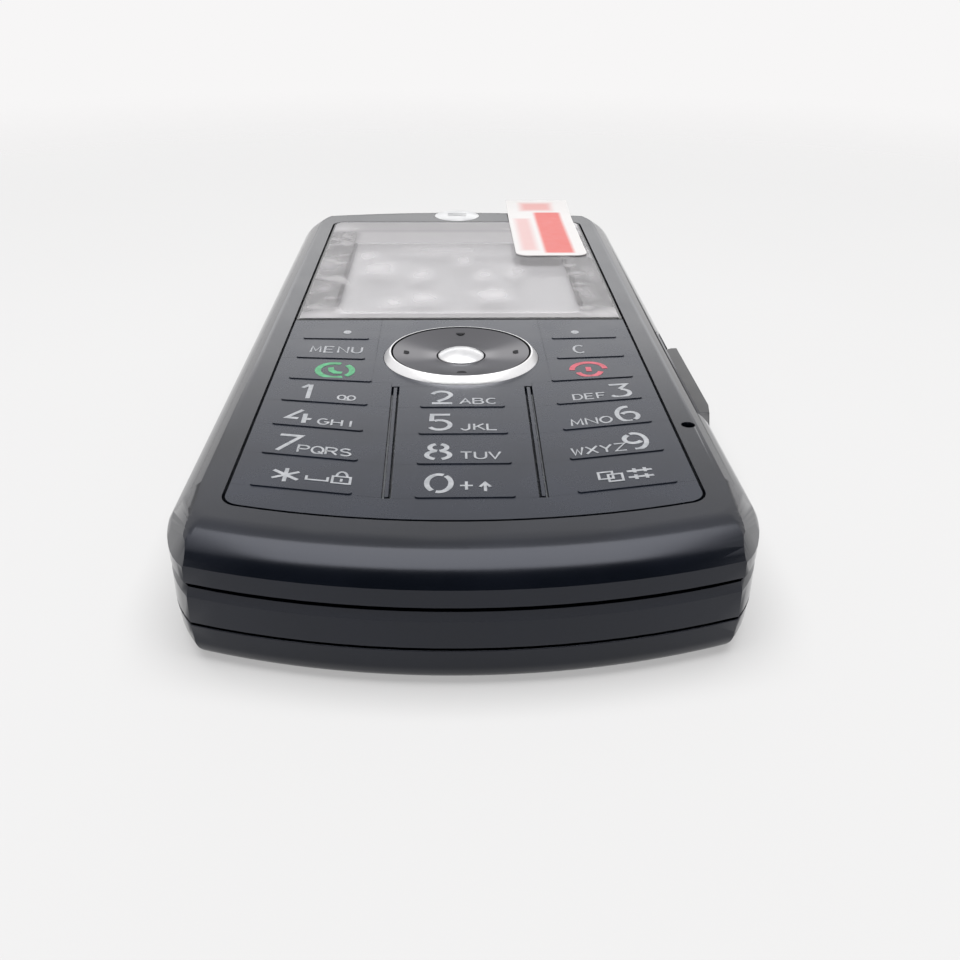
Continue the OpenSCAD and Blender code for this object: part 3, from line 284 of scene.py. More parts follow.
def shipping_film():
    """Thin polyethylene film with air trapped under it: it whitens at a low angle, and soft pale blisters show."""
    material, tree, place = begin("clinging_film_with_trapped_air")
    ragged = add(tree, "ShaderNodeTexNoise", links={"Vector": place, "Scale": 1 / (2.4 * MM), "Detail": 0.0})
    warped = add(tree, "ShaderNodeVectorMath", {"operation": "MULTIPLY_ADD"}, {
        0: ragged.outputs["Color"], 1: (RAGGED * MM, RAGGED * MM, 0), 2: place})
    patches = add(tree, "ShaderNodeTexNoise", links={"Vector": place, "Scale": 1 / (4 * MM), "Detail": 1.0})
    apart = add(tree, "ShaderNodeSeparateXYZ", links={"Vector": place})
    out = add(tree, "ShaderNodeMath", {"operation": "ABSOLUTE"}, {0: apart.outputs["X"]})
    side = add(tree, "ShaderNodeMapRange", {"interpolation_type": "SMOOTHSTEP"}, {
        "Value": out, "From Min": 13.5 * MM, "From Max": 16 * MM, "To Min": -0.2, "To Max": 0.05})
    lifted = add(tree, "ShaderNodeMath", {"operation": "ADD"}, {0: patches, 1: side})
    air = add(tree, "ShaderNodeMapRange", {"interpolation_type": "SMOOTHSTEP"}, {
        "Value": lifted, "From Min": 0.5, "From Max": 0.78})
    for x, y, half_x, half_y, pale in BLISTERS:
        own = add(tree, "ShaderNodeMapping", {"vector_type": "TEXTURE"}, {
            "Vector": warped, "Location": ((x + RAGGED / 2) * MM, (y + RAGGED / 2) * MM, 0),
            "Scale": (half_x * MM, half_y * MM, 1)})
        away = add(tree, "ShaderNodeVectorMath", {"operation": "LENGTH"}, {0: own})
        spot = add(tree, "ShaderNodeMapRange", {"interpolation_type": "SMOOTHSTEP"}, {
            "Value": away.outputs["Value"], "From Min": -0.2, "From Max": 1.6, "To Min": pale, "To Max": 0.0})
        air = add(tree, "ShaderNodeMath", {"operation": "MAXIMUM"}, {0: air, 1: spot})
    # Loose along the far end of the display
    strip = box_mask(tree, place, -VIEW_HALF, VIEW_HALF, 33.0, 39.8, 1.2)
    loose = add(tree, "ShaderNodeMath", {"operation": "MULTIPLY"}, {0: strip, 1: 0.75})
    air = add(tree, "ShaderNodeMath", {"operation": "MAXIMUM"}, {0: air, 1: loose})
    # Paler along the near and far edges
    low = add(tree, "ShaderNodeMapRange", {"interpolation_type": "SMOOTHSTEP"}, {
        "Value": apart.outputs["Y"], "From Min": -0.8 * MM, "From Max": 1.9 * MM, "To Min": 0.24, "To Max": 0.0})
    top = add(tree, "ShaderNodeMapRange", {"interpolation_type": "SMOOTHSTEP"}, {
        "Value": apart.outputs["Y"], "From Min": 38.5 * MM, "From Max": 41.5 * MM, "To Min": 0.0, "To Max": 0.14})
    rim = add(tree, "ShaderNodeMath", {"operation": "ADD"}, {0: low, 1: top})
    facing = add(tree, "ShaderNodeLayerWeight", links={"Blend": 0.5})
    sheen = add(tree, "ShaderNodeMath", {"operation": "POWER"}, {0: facing.outputs["Facing"], 1: 5.0})
    haze = add(tree, "ShaderNodeMath", {"operation": "MULTIPLY_ADD"}, {0: sheen, 1: 0.46, 2: 0.075})
    whiter = add(tree, "ShaderNodeMath", {"operation": "MULTIPLY_ADD"}, {0: air, 1: 0.24, 2: haze})
    cover = add(tree, "ShaderNodeMath", {"operation": "ADD", "use_clamp": True}, {0: whiter, 1: rim})
    gloss = add(tree, "ShaderNodeMapRange", links={"Value": patches, "To Min": 0.26, "To Max": 0.34})
    tone = add(tree, "ShaderNodeMix", {"data_type": "RGBA"}, {0: patches, 6: linear("#ece9ed"), 7: linear("#f7f5f7")})
    close(tree, {"Base Color": tone.outputs[2], "Metallic": 1.0, "Roughness": gloss, "Alpha": cover})
    return material


# Blocks printed on the pull tab: edges in X and in Y and softness in mm, and the colour
TAB_BLOCKS = [(12.6, 16.8, 27.2, 51.5, 0.4, "#e65e56"), (9.3, 11.6, 28.6, 48.0, 0.7, "#ecc3c1"),
              (10.6, 15.6, 52.5, 56.0, 0.9, "#ecafab")]


def printed_tab():
    """Pull tab of white polyester film, with plain blocks printed in coral and pink."""
    material, tree, place = begin("white_polyester_tab_with_print")
    fibres = add(tree, "ShaderNodeTexNoise", links={"Vector": place, "Scale": 1 / (1.5 * MM), "Detail": 4.0})
    paper = add(tree, "ShaderNodeMix", {"data_type": "RGBA"}, {0: fibres, 6: linear("#efeceb"), 7: linear("#f6f3f2")})
    tone = paper.outputs[2]
    for *edges, soft, code in TAB_BLOCKS:
        block = box_mask(tree, place, *edges, soft)
        tone = add(tree, "ShaderNodeMix", {"data_type": "RGBA"}, {0: block, 6: tone, 7: linear(code)}).outputs[2]
    gloss = add(tree, "ShaderNodeMapRange", links={"Value": fibres, "To Min": 0.3, "To Max": 0.45})
    close(tree, {"Base Color": tone, "Roughness": gloss, "IOR": 1.57}, fibres, 0.003)
    return material


def display_glass():
    """Switched-off transflective display: pale grey, with a fine dot grid, drawn coarse enough to show."""
    material, tree, place = begin("transflective_display_off")
    dots = add(tree, "ShaderNodeTexBrick", {"offset": 0.0}, {
        "Vector": place, "Scale": 1 / MM, "Color1": linear("#c6c5c8"), "Color2": linear("#cbcacd"),
        "Mortar": linear("#b6b5b8"), "Brick Width": 0.3, "Row Height": 0.3, "Mortar Size": 0.02})
    cloud = add(tree, "ShaderNodeTexNoise", links={"Vector": place, "Scale": 1 / (14 * MM)})
    gloss = add(tree, "ShaderNodeMapRange", links={"Value": cloud, "To Min": 0.12, "To Max": 0.3})
    close(tree, {"Base Color": dots, "Roughness": gloss, "IOR": 1.52}, cloud, 0.002)
    return material


def solder_mask():
    """Fibreglass board under green solder mask: darker between the copper tracks, which stand a little proud."""
    material, tree, place = begin("green_solder_mask_board")
    tracks = add(tree, "ShaderNodeTexBrick", {"offset": 0.37}, {
        "Vector": place, "Scale": 1 / MM, "Color1": linear("#2f6b4a"), "Color2": linear("#357552"),
        "Mortar": linear("#1f4a34"), "Brick Width": 3.1, "Row Height": 0.7, "Mortar Size": 0.12})
    gloss = add(tree, "ShaderNodeMapRange", links={"Value": tracks.outputs["Fac"], "To Min": 0.3, "To Max": 0.45})
    close(tree, {"Base Color": tracks, "Roughness": gloss, "IOR": 1.55}, tracks.outputs["Fac"], 0.02, 0.5)
    return material


dish, bezel, lens, film, tab = spun_dish(), plated_bezel(), clear_lens(), shipping_film(), printed_tab()
panel, board = display_glass(), solder_mask()

# Every CAD node gets a finish, also those that a finer piece stands for
FINISHES = [
    (lacquer, ["front_housing", "middle_housing", "rear_cover", "battery_door", "door_latch", "volume_key",
               "shot_key"]),
    (coating, KEYS + ["keypad_plate", "divider_bars"]),
    (chrome, ["camera_ring"]),
    (bezel, ["nav_bezel"]),
    (silver, ["select_key"]),
    (insert, ["earpiece_grille"]),
    (dish, ["nav_key"]),
    (lens, ["display_lens"]),
    (camera_glass, ["camera_lens"]),
    (film, ["screen_film"]),
    (tab, ["film_tab"]),
    (rubber, ["port_cover", "nav_rocker"]),
    (silicone, ["keypad_mat"]),
    (foam, ["display_gasket"]),
    (panel, ["display_module"]),
    (board, ["main_board"]),
    (tin, ["shield_cans", "sim_holder", "data_socket", "case_screws", "vibration_motor", "dome_sheet",
           "microphone"]),
    (gold, ["battery_contacts", "side_switches"]),
    (wrap, ["battery"]),
    (nylon, ["antenna_carrier", "earpiece_receiver", "loudspeaker", "camera_module"]),
    (sintered, ["motor_weight"]),
]
for material, nodes in FINISHES:
    for node in nodes:
        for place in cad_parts[node].material_slots:
            place.material = material


def new_object(name, data):
    """An object at the origin with that mesh, lamp or camera."""
    made = bpy.data.objects.new(name, data)
    bpy.context.scene.collection.objects.link(made)
    return made


def applied(holder):
    """The plain mesh of an object with its modifiers applied."""
    return bpy.data.meshes.new_from_object(holder.evaluated_get(bpy.context.evaluated_depsgraph_get()))


def shown(name, mesh, material, body):
    """A finished piece with that mesh, riding on a body."""
    mesh.materials.clear()
    mesh.materials.append(material)
    piece = new_object(name, mesh)
    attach(piece, body)
    return piece


def side_planes(shape):
    """Cuts along the front shell's sides and far corners: a set for each upright facet of its wall."""
    facets = {}
    for face in shape.faces:
        heights = [v.co.z / MM for v in face.verts]
        across = face.normal.to_2d()
        reach = across.dot(face.verts[0].co.to_2d())
        sideways = abs(face.normal.z) < 0.02 and abs(across.y) < 0.85
        whole = min(heights) < WALL_FOOT and abs(max(heights) - WALL_TOP) < 0.1
        if sideways and whole and reach > WALL_OUT * MM:
            facets[round(across.x, 3), round(across.y, 3)] = across, reach
    return [(across, reach, BAND_CUTS) for across, reach in facets.values() if across.y > -0.02]


def corner_planes():
    """Cuts round the near corners, in fine steps: the crease moves out to the edge, and the band gets steeper."""
    inset, height, lean = BAND_CUTS[0]
    planes = []
    for turn in CORNER_TURNS:
        near = min(1, max(0, turn - CHANGE_FROM) / CHANGE_OVER)
        trim = TRIM * math.sin(math.radians(min(180, turn * 180 / TRIM_OVER)))
        cuts = (inset - CREASE_OUT * near, height, lean + STEEPER * near), CORNER_FOOT
        for side in (-1, 1):
            across = Vector((side * math.cos(math.radians(turn)), -math.sin(math.radians(turn))))
            reach = across.dot(Vector((side * CORNER_X, CORNER_Y))) + CORNER_R - trim
            planes.append((across, reach * MM, cuts))
    return planes


def leaning(across, lean):
    """Direction that leans that far from upright towards a level one."""
    return (across * math.sin(lean)).to_3d() + Vector((0, 0, math.cos(lean)))


def band_hull(planes):
    """A convex block with every cut made in it, so that the cuts meet in clean edges."""
    hull = bmesh.new()
    bmesh.ops.create_cube(hull, size=BLOCK * MM)
    for across, reach, cuts in planes:
        for inset, height, lean in cuts:
            point = (across * (reach - inset * MM)).to_3d() + Vector((0, 0, height * MM))
            bmesh.ops.bisect_plane(hull, geom=hull.verts[:] + hull.edges[:] + hull.faces[:], dist=1e-8,
                                   plane_co=point, plane_no=leaning(across, math.radians(lean)), clear_outer=True)
            bmesh.ops.holes_fill(hull, edges=[e for e in hull.edges if e.is_boundary], sides=0)
    bmesh.ops.recalc_face_normals(hull, faces=hull.faces)
    return hull


def keep_inside(shape, hull):
    """Cuts a shape to what lies inside the hull."""
    holders = []
    for name, solid in (("uncut_shell", shape), ("band_hull", hull)):
        mesh = bpy.data.meshes.new(name)
        solid.to_mesh(mesh)
        holders.append(new_object(name, mesh))
    cut = holders[0].modifiers.new("band_cut", "BOOLEAN")
    cut.operation, cut.solver, cut.object = "INTERSECT", "EXACT", holders[1]
    made = applied(holders[0])
    for holder in holders:
        bpy.data.objects.remove(holder)
    shape.clear()
    shape.from_mesh(made)
    bmesh.ops.remove_doubles(shape, verts=shape.verts, dist=1e-6)
    shape.normal_update()


def at_end(v):
    """Whether a point lies on the end of the shoulder beyond the port cover."""
    return v.co.x > SHOULDER_X * MM and abs(v.co.y - SHOULDER_Y * MM) < 0.02 * MM


def run_out(shape):
    """Slants the end of the shoulder beyond the port cover above the wall, so that it runs out along the band."""
    above = (WALL_TOP + 0.001) * MM
    ends = [f for f in shape.faces
            if any(at_end(v) for v in f.verts) and (abs(f.normal.y) > 0.9 or f.normal.x > 0.99)]
    edges, corners = {e for f in ends for e in f.edges}, {v for f in ends for v in f.verts}
    bmesh.ops.bisect_plane(shape, geom=ends + list(edges) + list(corners), dist=1e-7,
                           plane_co=(0, 0, WALL_TOP * MM), plane_no=(0, 0, 1))
    bmesh.ops.triangulate(shape, faces=[f for f in shape.faces if all(at_end(v) for v in f.verts)
                                        and max(v.co.z for v in f.verts) > above])
    for v in shape.verts:
        if at_end(v) and v.co.z > above:
            v.co.y += RUN_OUT * max(0, v.co.x - SLANT_X * MM)


def flat_sides(shape):
    """Cuts the front shell's round side edge to the photo's nearly flat band, with a crease along the face.

    The cuts follow the sides and the corners, so they meet the bowed ends in a crisp mitre."""
    hull = band_hull(side_planes(shape) + corner_planes())
    keep_inside(shape, hull)
    hull.free()
    run_out(shape)


def eased(node, ease_mm, body, above_mm=-1.0, grow_mm=0.0, round_mm=0.0, ridge=1.0):
    """A copy of a CAD node that stands for it, with its sharp edges above a height eased and its creases kept.

    Its outline can grow, its upright edges can be rounded, and what stands above the face can be lowered."""
    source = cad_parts[node]
    shape = bmesh.new()
    shape.from_mesh(source.data)
    bmesh.ops.remove_doubles(shape, verts=shape.verts, dist=2e-6)
    shape.normal_update()
    for v, out in [(v, v.normal.to_2d()) for v in shape.verts if v.co.z > KEY_LOW * MM and grow_mm]:
        if out.length > 0.1:
            v.co += out.normalized().to_3d() * grow_mm * MM
    for v in [v for v in shape.verts if v.co.z > (FACE + 0.01) * MM]:
        v.co.z = FACE * MM + (v.co.z - FACE * MM) * ridge
    if node == "front_housing":
        flat_sides(shape)
    high = [v for v in shape.verts if v.co.z > above_mm * MM]
    bmesh.ops.dissolve_limit(shape, angle_limit=math.radians(FLAT_BEND), verts=high,
                             edges=[e for e in shape.edges if min(v.co.z for v in e.verts) > above_mm * MM])
    weight = shape.edges.layers.float.new("bevel_weight_edge")
    for edge in shape.edges:
        bend = math.degrees(edge.calc_face_angle(0))
        if bend > SHARP_BEND and min(v.co.z for v in edge.verts) > above_mm * MM:
            upright = abs(edge.verts[0].co.z - edge.verts[1].co.z) > 0.9 * edge.calc_length()
            edge[weight] = 1.0 if upright or not round_mm else ease_mm / round_mm
        edge.smooth = bend < SMOOTH_BEND or edge[weight] > 0
    merged = bpy.data.meshes.new(node + "_merged")
    shape.to_mesh(merged)
    shape.free()
    if "custom_normal" in merged.attributes:
        merged.attributes.remove(merged.attributes["custom_normal"])
    merged.shade_smooth()
    holder = new_object(node + "_holder", merged)
    ease = holder.modifiers.new("eased_edges", "BEVEL")
    ease.width, ease.segments, ease.limit_method = (round_mm or ease_mm) * MM, 4 if round_mm else 2, "WEIGHT"
    even = holder.modifiers.new("even_normals", "WEIGHTED_NORMAL")
    even.keep_sharp = True
    made = applied(holder)
    bpy.data.objects.remove(holder)
    piece = shown(node + "_eased", made, source.material_slots[0].material, body)
    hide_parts(node)


# Nodes whose edges are eased: how far in mm, their body and their slot
EASED = [("front_housing", 0.1, "root", "shell_paint"), ("middle_housing", 0.12, "root", "shell_paint"),
         ("rear_cover", 0.1, "root", "shell_paint"), ("battery_door", 0.1, "battery_door", "shell_paint"),
         ("door_latch", 0.12, "door_latch", "shell_paint"), ("volume_key", 0.25, "volume_key", "shell_paint"),
         ("shot_key", 0.25, "shot_key", "shell_paint"),
         ("nav_bezel", 0.06, "root", "bright_trim"),
         ("select_key", 0.08, "select_key", "bright_trim"), ("earpiece_grille", 0.08, "root", "bright_trim"),
         ("camera_ring", 0.1, "root", "bright_trim"), ("nav_key", 0.05, "nav_key", "gloss_ring"),
         ("port_cover", 0.22, "port_cover", "soft_rubber")]
for node, ease_mm, body, slot in EASED:
    eased(node, ease_mm, body)
# The dividers are round-ended and stand clear in their slots
eased("divider_bars", 0.06, "root", above_mm=10, grow_mm=-0.14, round_mm=0.3)
# The plate closes up to the keys
eased("keypad_plate", 0.05, "root", above_mm=RIDGE_FROM, grow_mm=CLOSE_UP)
# On the keys only the ridge is eased, and they all but meet, as the photo's keypad shows no gap between them
for key in KEYS:
    eased(key, 0.05, key, above_mm=RIDGE_FROM, grow_mm=CLOSE_UP, ridge=RIDGE_KEPT)


def arc(x, y, rx, ry, start, end, steps=12):
    """Points along an arc in the box of a glyph, by angles in degrees."""
    turns = [math.radians(start + (end - start) * i / steps) for i in range(steps + 1)]
    return [(x + rx * math.cos(a), y + ry * math.sin(a)) for a in turns]


def loop(x, y, rx, ry):
    """A closed oval in the box of a glyph: the last point joins the first."""
    return arc(x, y, rx, ry, 0, 360, 20)


# Letters and marks as centre lines in a box one wide and one high. The numerals have stencil cuts.
GLYPHS = {
    "A": [[(0, 0), (0.5, 1), (1, 0)], [(0.22, 0.34), (0.78, 0.34)]],
    "B": [[(0, 0), (0, 1), (0.55, 1)] + arc(0.55, 0.77, 0.33, 0.23, 80, -90) + [(0, 0.54)],
          [(0.5, 0.54)] + arc(0.58, 0.27, 0.38, 0.27, 90, -90) + [(0, 0)]],
    "C": [arc(0.55, 0.5, 0.52, 0.5, 48, 312)],
    "D": [[(0, 0), (0, 1), (0.4, 1)] + arc(0.42, 0.5, 0.55, 0.5, 80, -80) + [(0.4, 0), (0, 0)]],
    "E": [[(0.9, 1), (0, 1), (0, 0), (0.9, 0)], [(0, 0.52), (0.78, 0.52)]],
    "F": [[(0.9, 1), (0, 1), (0, 0)], [(0, 0.5), (0.75, 0.5)]],
    "G": [arc(0.52, 0.5, 0.52, 0.5, 50, 350) + [(1.02, 0.48), (0.6, 0.48)]],
    "H": [[(0, 0), (0, 1)], [(1, 0), (1, 1)], [(0, 0.52), (1, 0.52)]],
    "I": [[(0.5, 0), (0.5, 1)]],
    "J": [[(0.8, 1), (0.8, 0.32)] + arc(0.42, 0.32, 0.38, 0.32, -10, -165)],
    "K": [[(0, 0), (0, 1)], [(0.92, 1), (0.05, 0.44)], [(0.32, 0.6), (1, 0)]],
    "L": [[(0, 1), (0, 0), (0.88, 0)]],
    "M": [[(0, 0), (0.08, 1), (0.5, 0.2), (0.92, 1), (1, 0)]],
    "N": [[(0, 0), (0, 1), (1, 0), (1, 1)]],
    "O": [loop(0.5, 0.5, 0.52, 0.5)],
    "P": [[(0, 0), (0, 1), (0.55, 1)] + arc(0.58, 0.74, 0.38, 0.26, 85, -85) + [(0.55, 0.48), (0, 0.48)]],
    "Q": [loop(0.5, 0.5, 0.52, 0.5), [(0.6, 0.3), (1.02, -0.05)]],
    "R": [[(0, 0), (0, 1), (0.55, 1)] + arc(0.58, 0.75, 0.36, 0.25, 85, -85) + [(0.55, 0.5), (0, 0.5)],
          [(0.5, 0.5), (1, 0)]],
    "S": [arc(0.5, 0.76, 0.42, 0.24, 30, 260) + arc(0.5, 0.26, 0.46, 0.26, 80, -150)],
    "T": [[(0, 1), (1, 1)], [(0.5, 1), (0.5, 0)]],
    "U": [[(0, 1), (0, 0.38)] + arc(0.5, 0.38, 0.5, 0.38, 185, 355) + [(1, 0.38), (1, 1)]],
    "V": [[(0, 1), (0.5, 0), (1, 1)]],
    "W": [[(0, 1), (0.25, 0), (0.5, 0.75), (0.75, 0), (1, 1)]],
    "X": [[(0, 0), (1, 1)], [(0, 1), (1, 0)]],
    "Y": [[(0, 1), (0.5, 0.48), (1, 1)], [(0.5, 0.48), (0.5, 0)]],
    "Z": [[(0, 1), (1, 1), (0, 0), (1, 0)]],
    "1": [[(0.1, 0.74), (0.62, 1)], [(0.72, 1), (0.72, 0)]],
    "2": [arc(0.48, 0.7, 0.46, 0.3, 165, -10) + [(0.72, 0.42), (0.3, 0.17)], [(0.02, 0.02), (1, 0.02)]],
    "3": [[(0.05, 1), (0.92, 1), (0.5, 0.62)], arc(0.45, 0.29, 0.48, 0.31, 78, -150)],
    "4": [[(0.6, 1), (0.02, 0.32), (0.5, 0.32)], [(0.76, 0.72), (0.76, 0)], [(0.86, 0.32), (1.04, 0.32)]],
    "5": [[(0.95, 1), (0.1, 1), (0.08, 0.56)], arc(0.45, 0.31, 0.5, 0.31, 118, -150)],
    "6": [arc(0.52, 0.48, 0.5, 0.52, 78, 285), arc(0.56, 0.31, 0.4, 0.29, 140, -62)],
    "7": [[(0, 1), (1, 1), (0.05, 0)]],
    "8": [arc(0.5, 0.77, 0.36, 0.23, 108, 262), arc(0.5, 0.77, 0.36, 0.23, 72, -82),
          arc(0.5, 0.26, 0.48, 0.27, 102, 252), arc(0.5, 0.26, 0.48, 0.27, 78, -72)],
    "9": [arc(0.48, 0.52, 0.5, 0.52, 258, 465), arc(0.44, 0.69, 0.4, 0.29, 320, 118)],
    "0": [arc(0.5, 0.5, 0.48, 0.5, 68, 236), arc(0.5, 0.5, 0.48, 0.5, 256, 416)],
    "*": [[(0, 0.2), (1, 0.8)], [(0, 0.8), (1, 0.2)], [(0.5, 0), (0.5, 1)]],
    "#": [[(0, 0.72), (1, 0.72)], [(0, 0.26), (1, 0.26)], [(0.3, 0.08), (0.3, 0.42)], [(0.3, 0.58), (0.3, 0.9)],
          [(0.72, 0.08), (0.72, 0.42)], [(0.72, 0.58), (0.72, 0.9)]],
    "+": [[(0, 0.5), (1, 0.5)], [(0.5, 0), (0.5, 1)]],
    "up": [[(0.5, 0), (0.5, 0.85)], [(0, 0.5), (0.5, 1), (1, 0.5)]],
    "space": [[(0, 0.9), (0, 0.1), (1, 0.1), (1, 0.9)]],
    "lock": [[(0, 0), (1, 0), (1, 0.56), (0, 0.56), (0, 0)], arc(0.5, 0.56, 0.3, 0.42, 0, 180),
             [(0.5, 0.14), (0.5, 0.38)]],
    "tape": [loop(0.22, 0.55, 0.22, 0.42), loop(0.78, 0.55, 0.22, 0.42), [(0.22, 0.1), (0.78, 0.1)]],
    "pages": [[(0, 0.3), (0.6, 0.3), (0.6, 1), (0, 1), (0, 0.3)],
              [(0.4, 0), (1, 0), (1, 0.7), (0.4, 0.7), (0.4, 0)]],
    "dot": [loop(0.5, 0.5, 0.28, 0.28)],
    "lifted": [arc(0.5, 0.5, 0.5, 0.5, 75, 300), arc(0.5, 0.5, 0.5, 0.5, -45, 50),
               [(0.36, 0.68), (0.4, 0.46), (0.54, 0.34), (0.72, 0.34)]],
    "laid": [arc(0.5, 0.5, 0.5, 0.46, 182, -2), arc(0.5, 0.42, 0.36, 0.4, 198, 342), [(0.5, 0.34), (0.5, 0.64)]],
}

# For each row of keys the middle of its lower edge in mm, and that edge's slope
ROWS = {"soft": (-9.03, 0.049), "menu": (-15.53, 0.093), "send": (-22.03, 0.136), "top": (-28.15, 0.177),
        "second": (-34.27, 0.215), "third": (-40.38, 0.215), "low": (-46.5, 0.215)}
# For each key its row, its side and its groups of marks: names, left and base of the group, step from one mark to
# the next, width, height and line width in mm
LEGENDS = {
    "soft_key_left": ("soft", -1, [(["dot"], -13.35, -7.0, 0, 0.85, 1.3, 0.42)]),
    "soft_key_right": ("soft", 1, [(["dot"], 12.75, -7.2, 0, 0.85, 1.3, 0.42)]),
    "menu_key": ("menu", -1, [("MENU", -16.4, -13.0, 1.5, 1.05, 1.8, 0.22)]),
    "clear_key": ("menu", 1, [("C", 12.4, -13.35, 0, 1.2, 2.3, 0.26)]),
    "send_key": ("send", -1, [(["lifted"], -15.0, -20.5, 0, 3.6, 4.0, 0.62)]),
    "end_key": ("send", 1, [(["laid"], 11.6, -20.7, 0, 3.5, 4.1, 0.58)]),
    "key_1": ("top", -1, [("1", -16.1, -26.2, 0, 1.3, 3.5, 0.44), (["tape"], -12.2, -26.4, 0, 1.7, 1.3, 0.2)]),
    "key_2": ("top", 0, [("2", -3.0, -27.2, 0, 2.0, 3.0, 0.44), ("ABC", -0.2, -27.3, 1.27, 0.98, 1.3, 0.2)]),
    "key_3": ("top", 1, [("3", 14.75, -26.0, 0, 2.1, 3.1, 0.44), ("DEF", 10.95, -26.5, 1.2, 0.88, 1.3, 0.2)]),
    "key_4": ("second", -1, [("4", -16.6, -32.0, 0, 2.3, 2.9, 0.44), ("GHI", -13.5, -32.5, 1.3, 0.95, 1.25, 0.2)]),
    "key_5": ("second", 0, [("5", -3.1, -33.3, 0, 2.0, 3.4, 0.44), ("JKL", -0.2, -33.4, 1.22, 0.95, 1.35, 0.2)]),
    "key_6": ("second", 1, [("6", 14.6, -31.95, 0, 2.1, 3.2, 0.44), ("MNO", 10.1, -32.8, 1.4, 1.05, 1.35, 0.2)]),
    "key_7": ("third", -1, [("7", -16.55, -37.75, 0, 1.95, 3.2, 0.44), ("PQRS", -14.6, -39.0, 1.25, 0.98, 1.35, 0.2)]),
    "key_8": ("third", 0, [("8", -3.3, -39.4, 0, 2.1, 3.0, 0.44), ("TUV", -0.3, -39.4, 1.25, 0.98, 1.35, 0.2)]),
    "key_9": ("third", 1, [("9", 14.4, -37.65, 0, 2.1, 3.1, 0.44), ("WXYZ", 9.5, -38.95, 1.3, 1.0, 1.4, 0.2)]),
    "key_star": ("low", -1, [("*", -16.1, -43.4, 0, 2.2, 2.4, 0.34), (["space"], -13.2, -43.3, 0, 1.8, 0.85, 0.22),
                             (["lock"], -11.0, -43.85, 0, 1.5, 2.1, 0.22)]),
    "key_0": ("low", 0, [("0", -3.2, -45.45, 0, 2.1, 3.1, 0.44), ("+", -0.4, -45.1, 0, 1.05, 1.45, 0.24),
                         (["up"], 1.25, -45.4, 0, 0.85, 1.55, 0.26)]),
    "key_hash": ("low", 1, [("#", 13.75, -43.5, 0, 2.2, 2.4, 0.3), (["pages"], 11.25, -43.8, 0, 2.0, 1.75, 0.22)]),
}
# Where the rows start to tilt, from the middle line, and the height of a ridge with what it hides behind it, in mm
TILT_FROM = 6.14
BEHIND_RIDGE = 0.8
INKS = {"send_key": green_ink, "end_key": red_ink}


def band(shape, line, width, low, high):
    """Adds a thin closed band of that width along a line of points in the plane."""
    closed = (Vector(line[0]) - Vector(line[-1])).length < 1e-7
    points = [Vector(p) for p in (line[:-1] if closed else line)]
    last = len(points) - 1
    rings = []
    for i, point in enumerate(points):
        back = point - points[i - 1] if i or closed else points[1] - point
        ahead = points[0 if i == last else i + 1] - point if i < last or closed else back
        back, ahead = back.normalized(), ahead.normalized()
        along = (back + ahead).normalized() if (back + ahead).length > 0.05 else back
        across = Vector((-along.y, along.x)) * width / 2 / max(0.6, along.dot(back))
        corners = ((point + across, high), (point - across, high), (point - across, low), (point + across, low))
        rings.append([shape.verts.new((p.x, p.y, z)) for p, z in corners])
    for near, far in zip(rings, rings[1:] + rings[:1] if closed else rings[1:]):
        for k in range(4):
            shape.faces.new((near[k], near[k - 3], far[k - 3], far[k]))
    if not closed:
        shape.faces.new(rings[0])
        shape.faces.new(rings[-1])


def legend(key, row, side, groups):
    """Prints a key's marks: they follow the row's slope, and each stroke is a hair higher than the last."""
    shape = bmesh.new()
    row_y, tilt = ROWS[row]
    high = PRINT
    for names, left, base, step, width, height, line_mm in groups:
        middle = left + (step * (len(names) - 1) + width) / 2
        base = max(base, row_y + (tilt * (abs(middle) - TILT_FROM) if side else 0) + BEHIND_RIDGE)
        for i, name in enumerate(names):
            for line in GLYPHS[name]:
                xs = [left + step * i + width * x for x, _ in line]
                ys = [base + height * y + side * tilt * (x - middle) for x, (_, y) in zip(xs, line)]
                points = [(x * MM, y * MM) for x, y in zip(xs, ys)]
                band(shape, points, line_mm * MM, (FACE - PRINT) * MM, (FACE + high) * MM)
                high += STROKE
    bmesh.ops.recalc_face_normals(shape, faces=shape.faces)
    mesh = bpy.data.meshes.new("legend_" + key)
    shape.to_mesh(mesh)
    shape.free()
    shown("legend_" + key, mesh, INKS.get(key, ink), key)


for key, (row, side, groups) in LEGENDS.items():
    legend(key, row, side, groups)


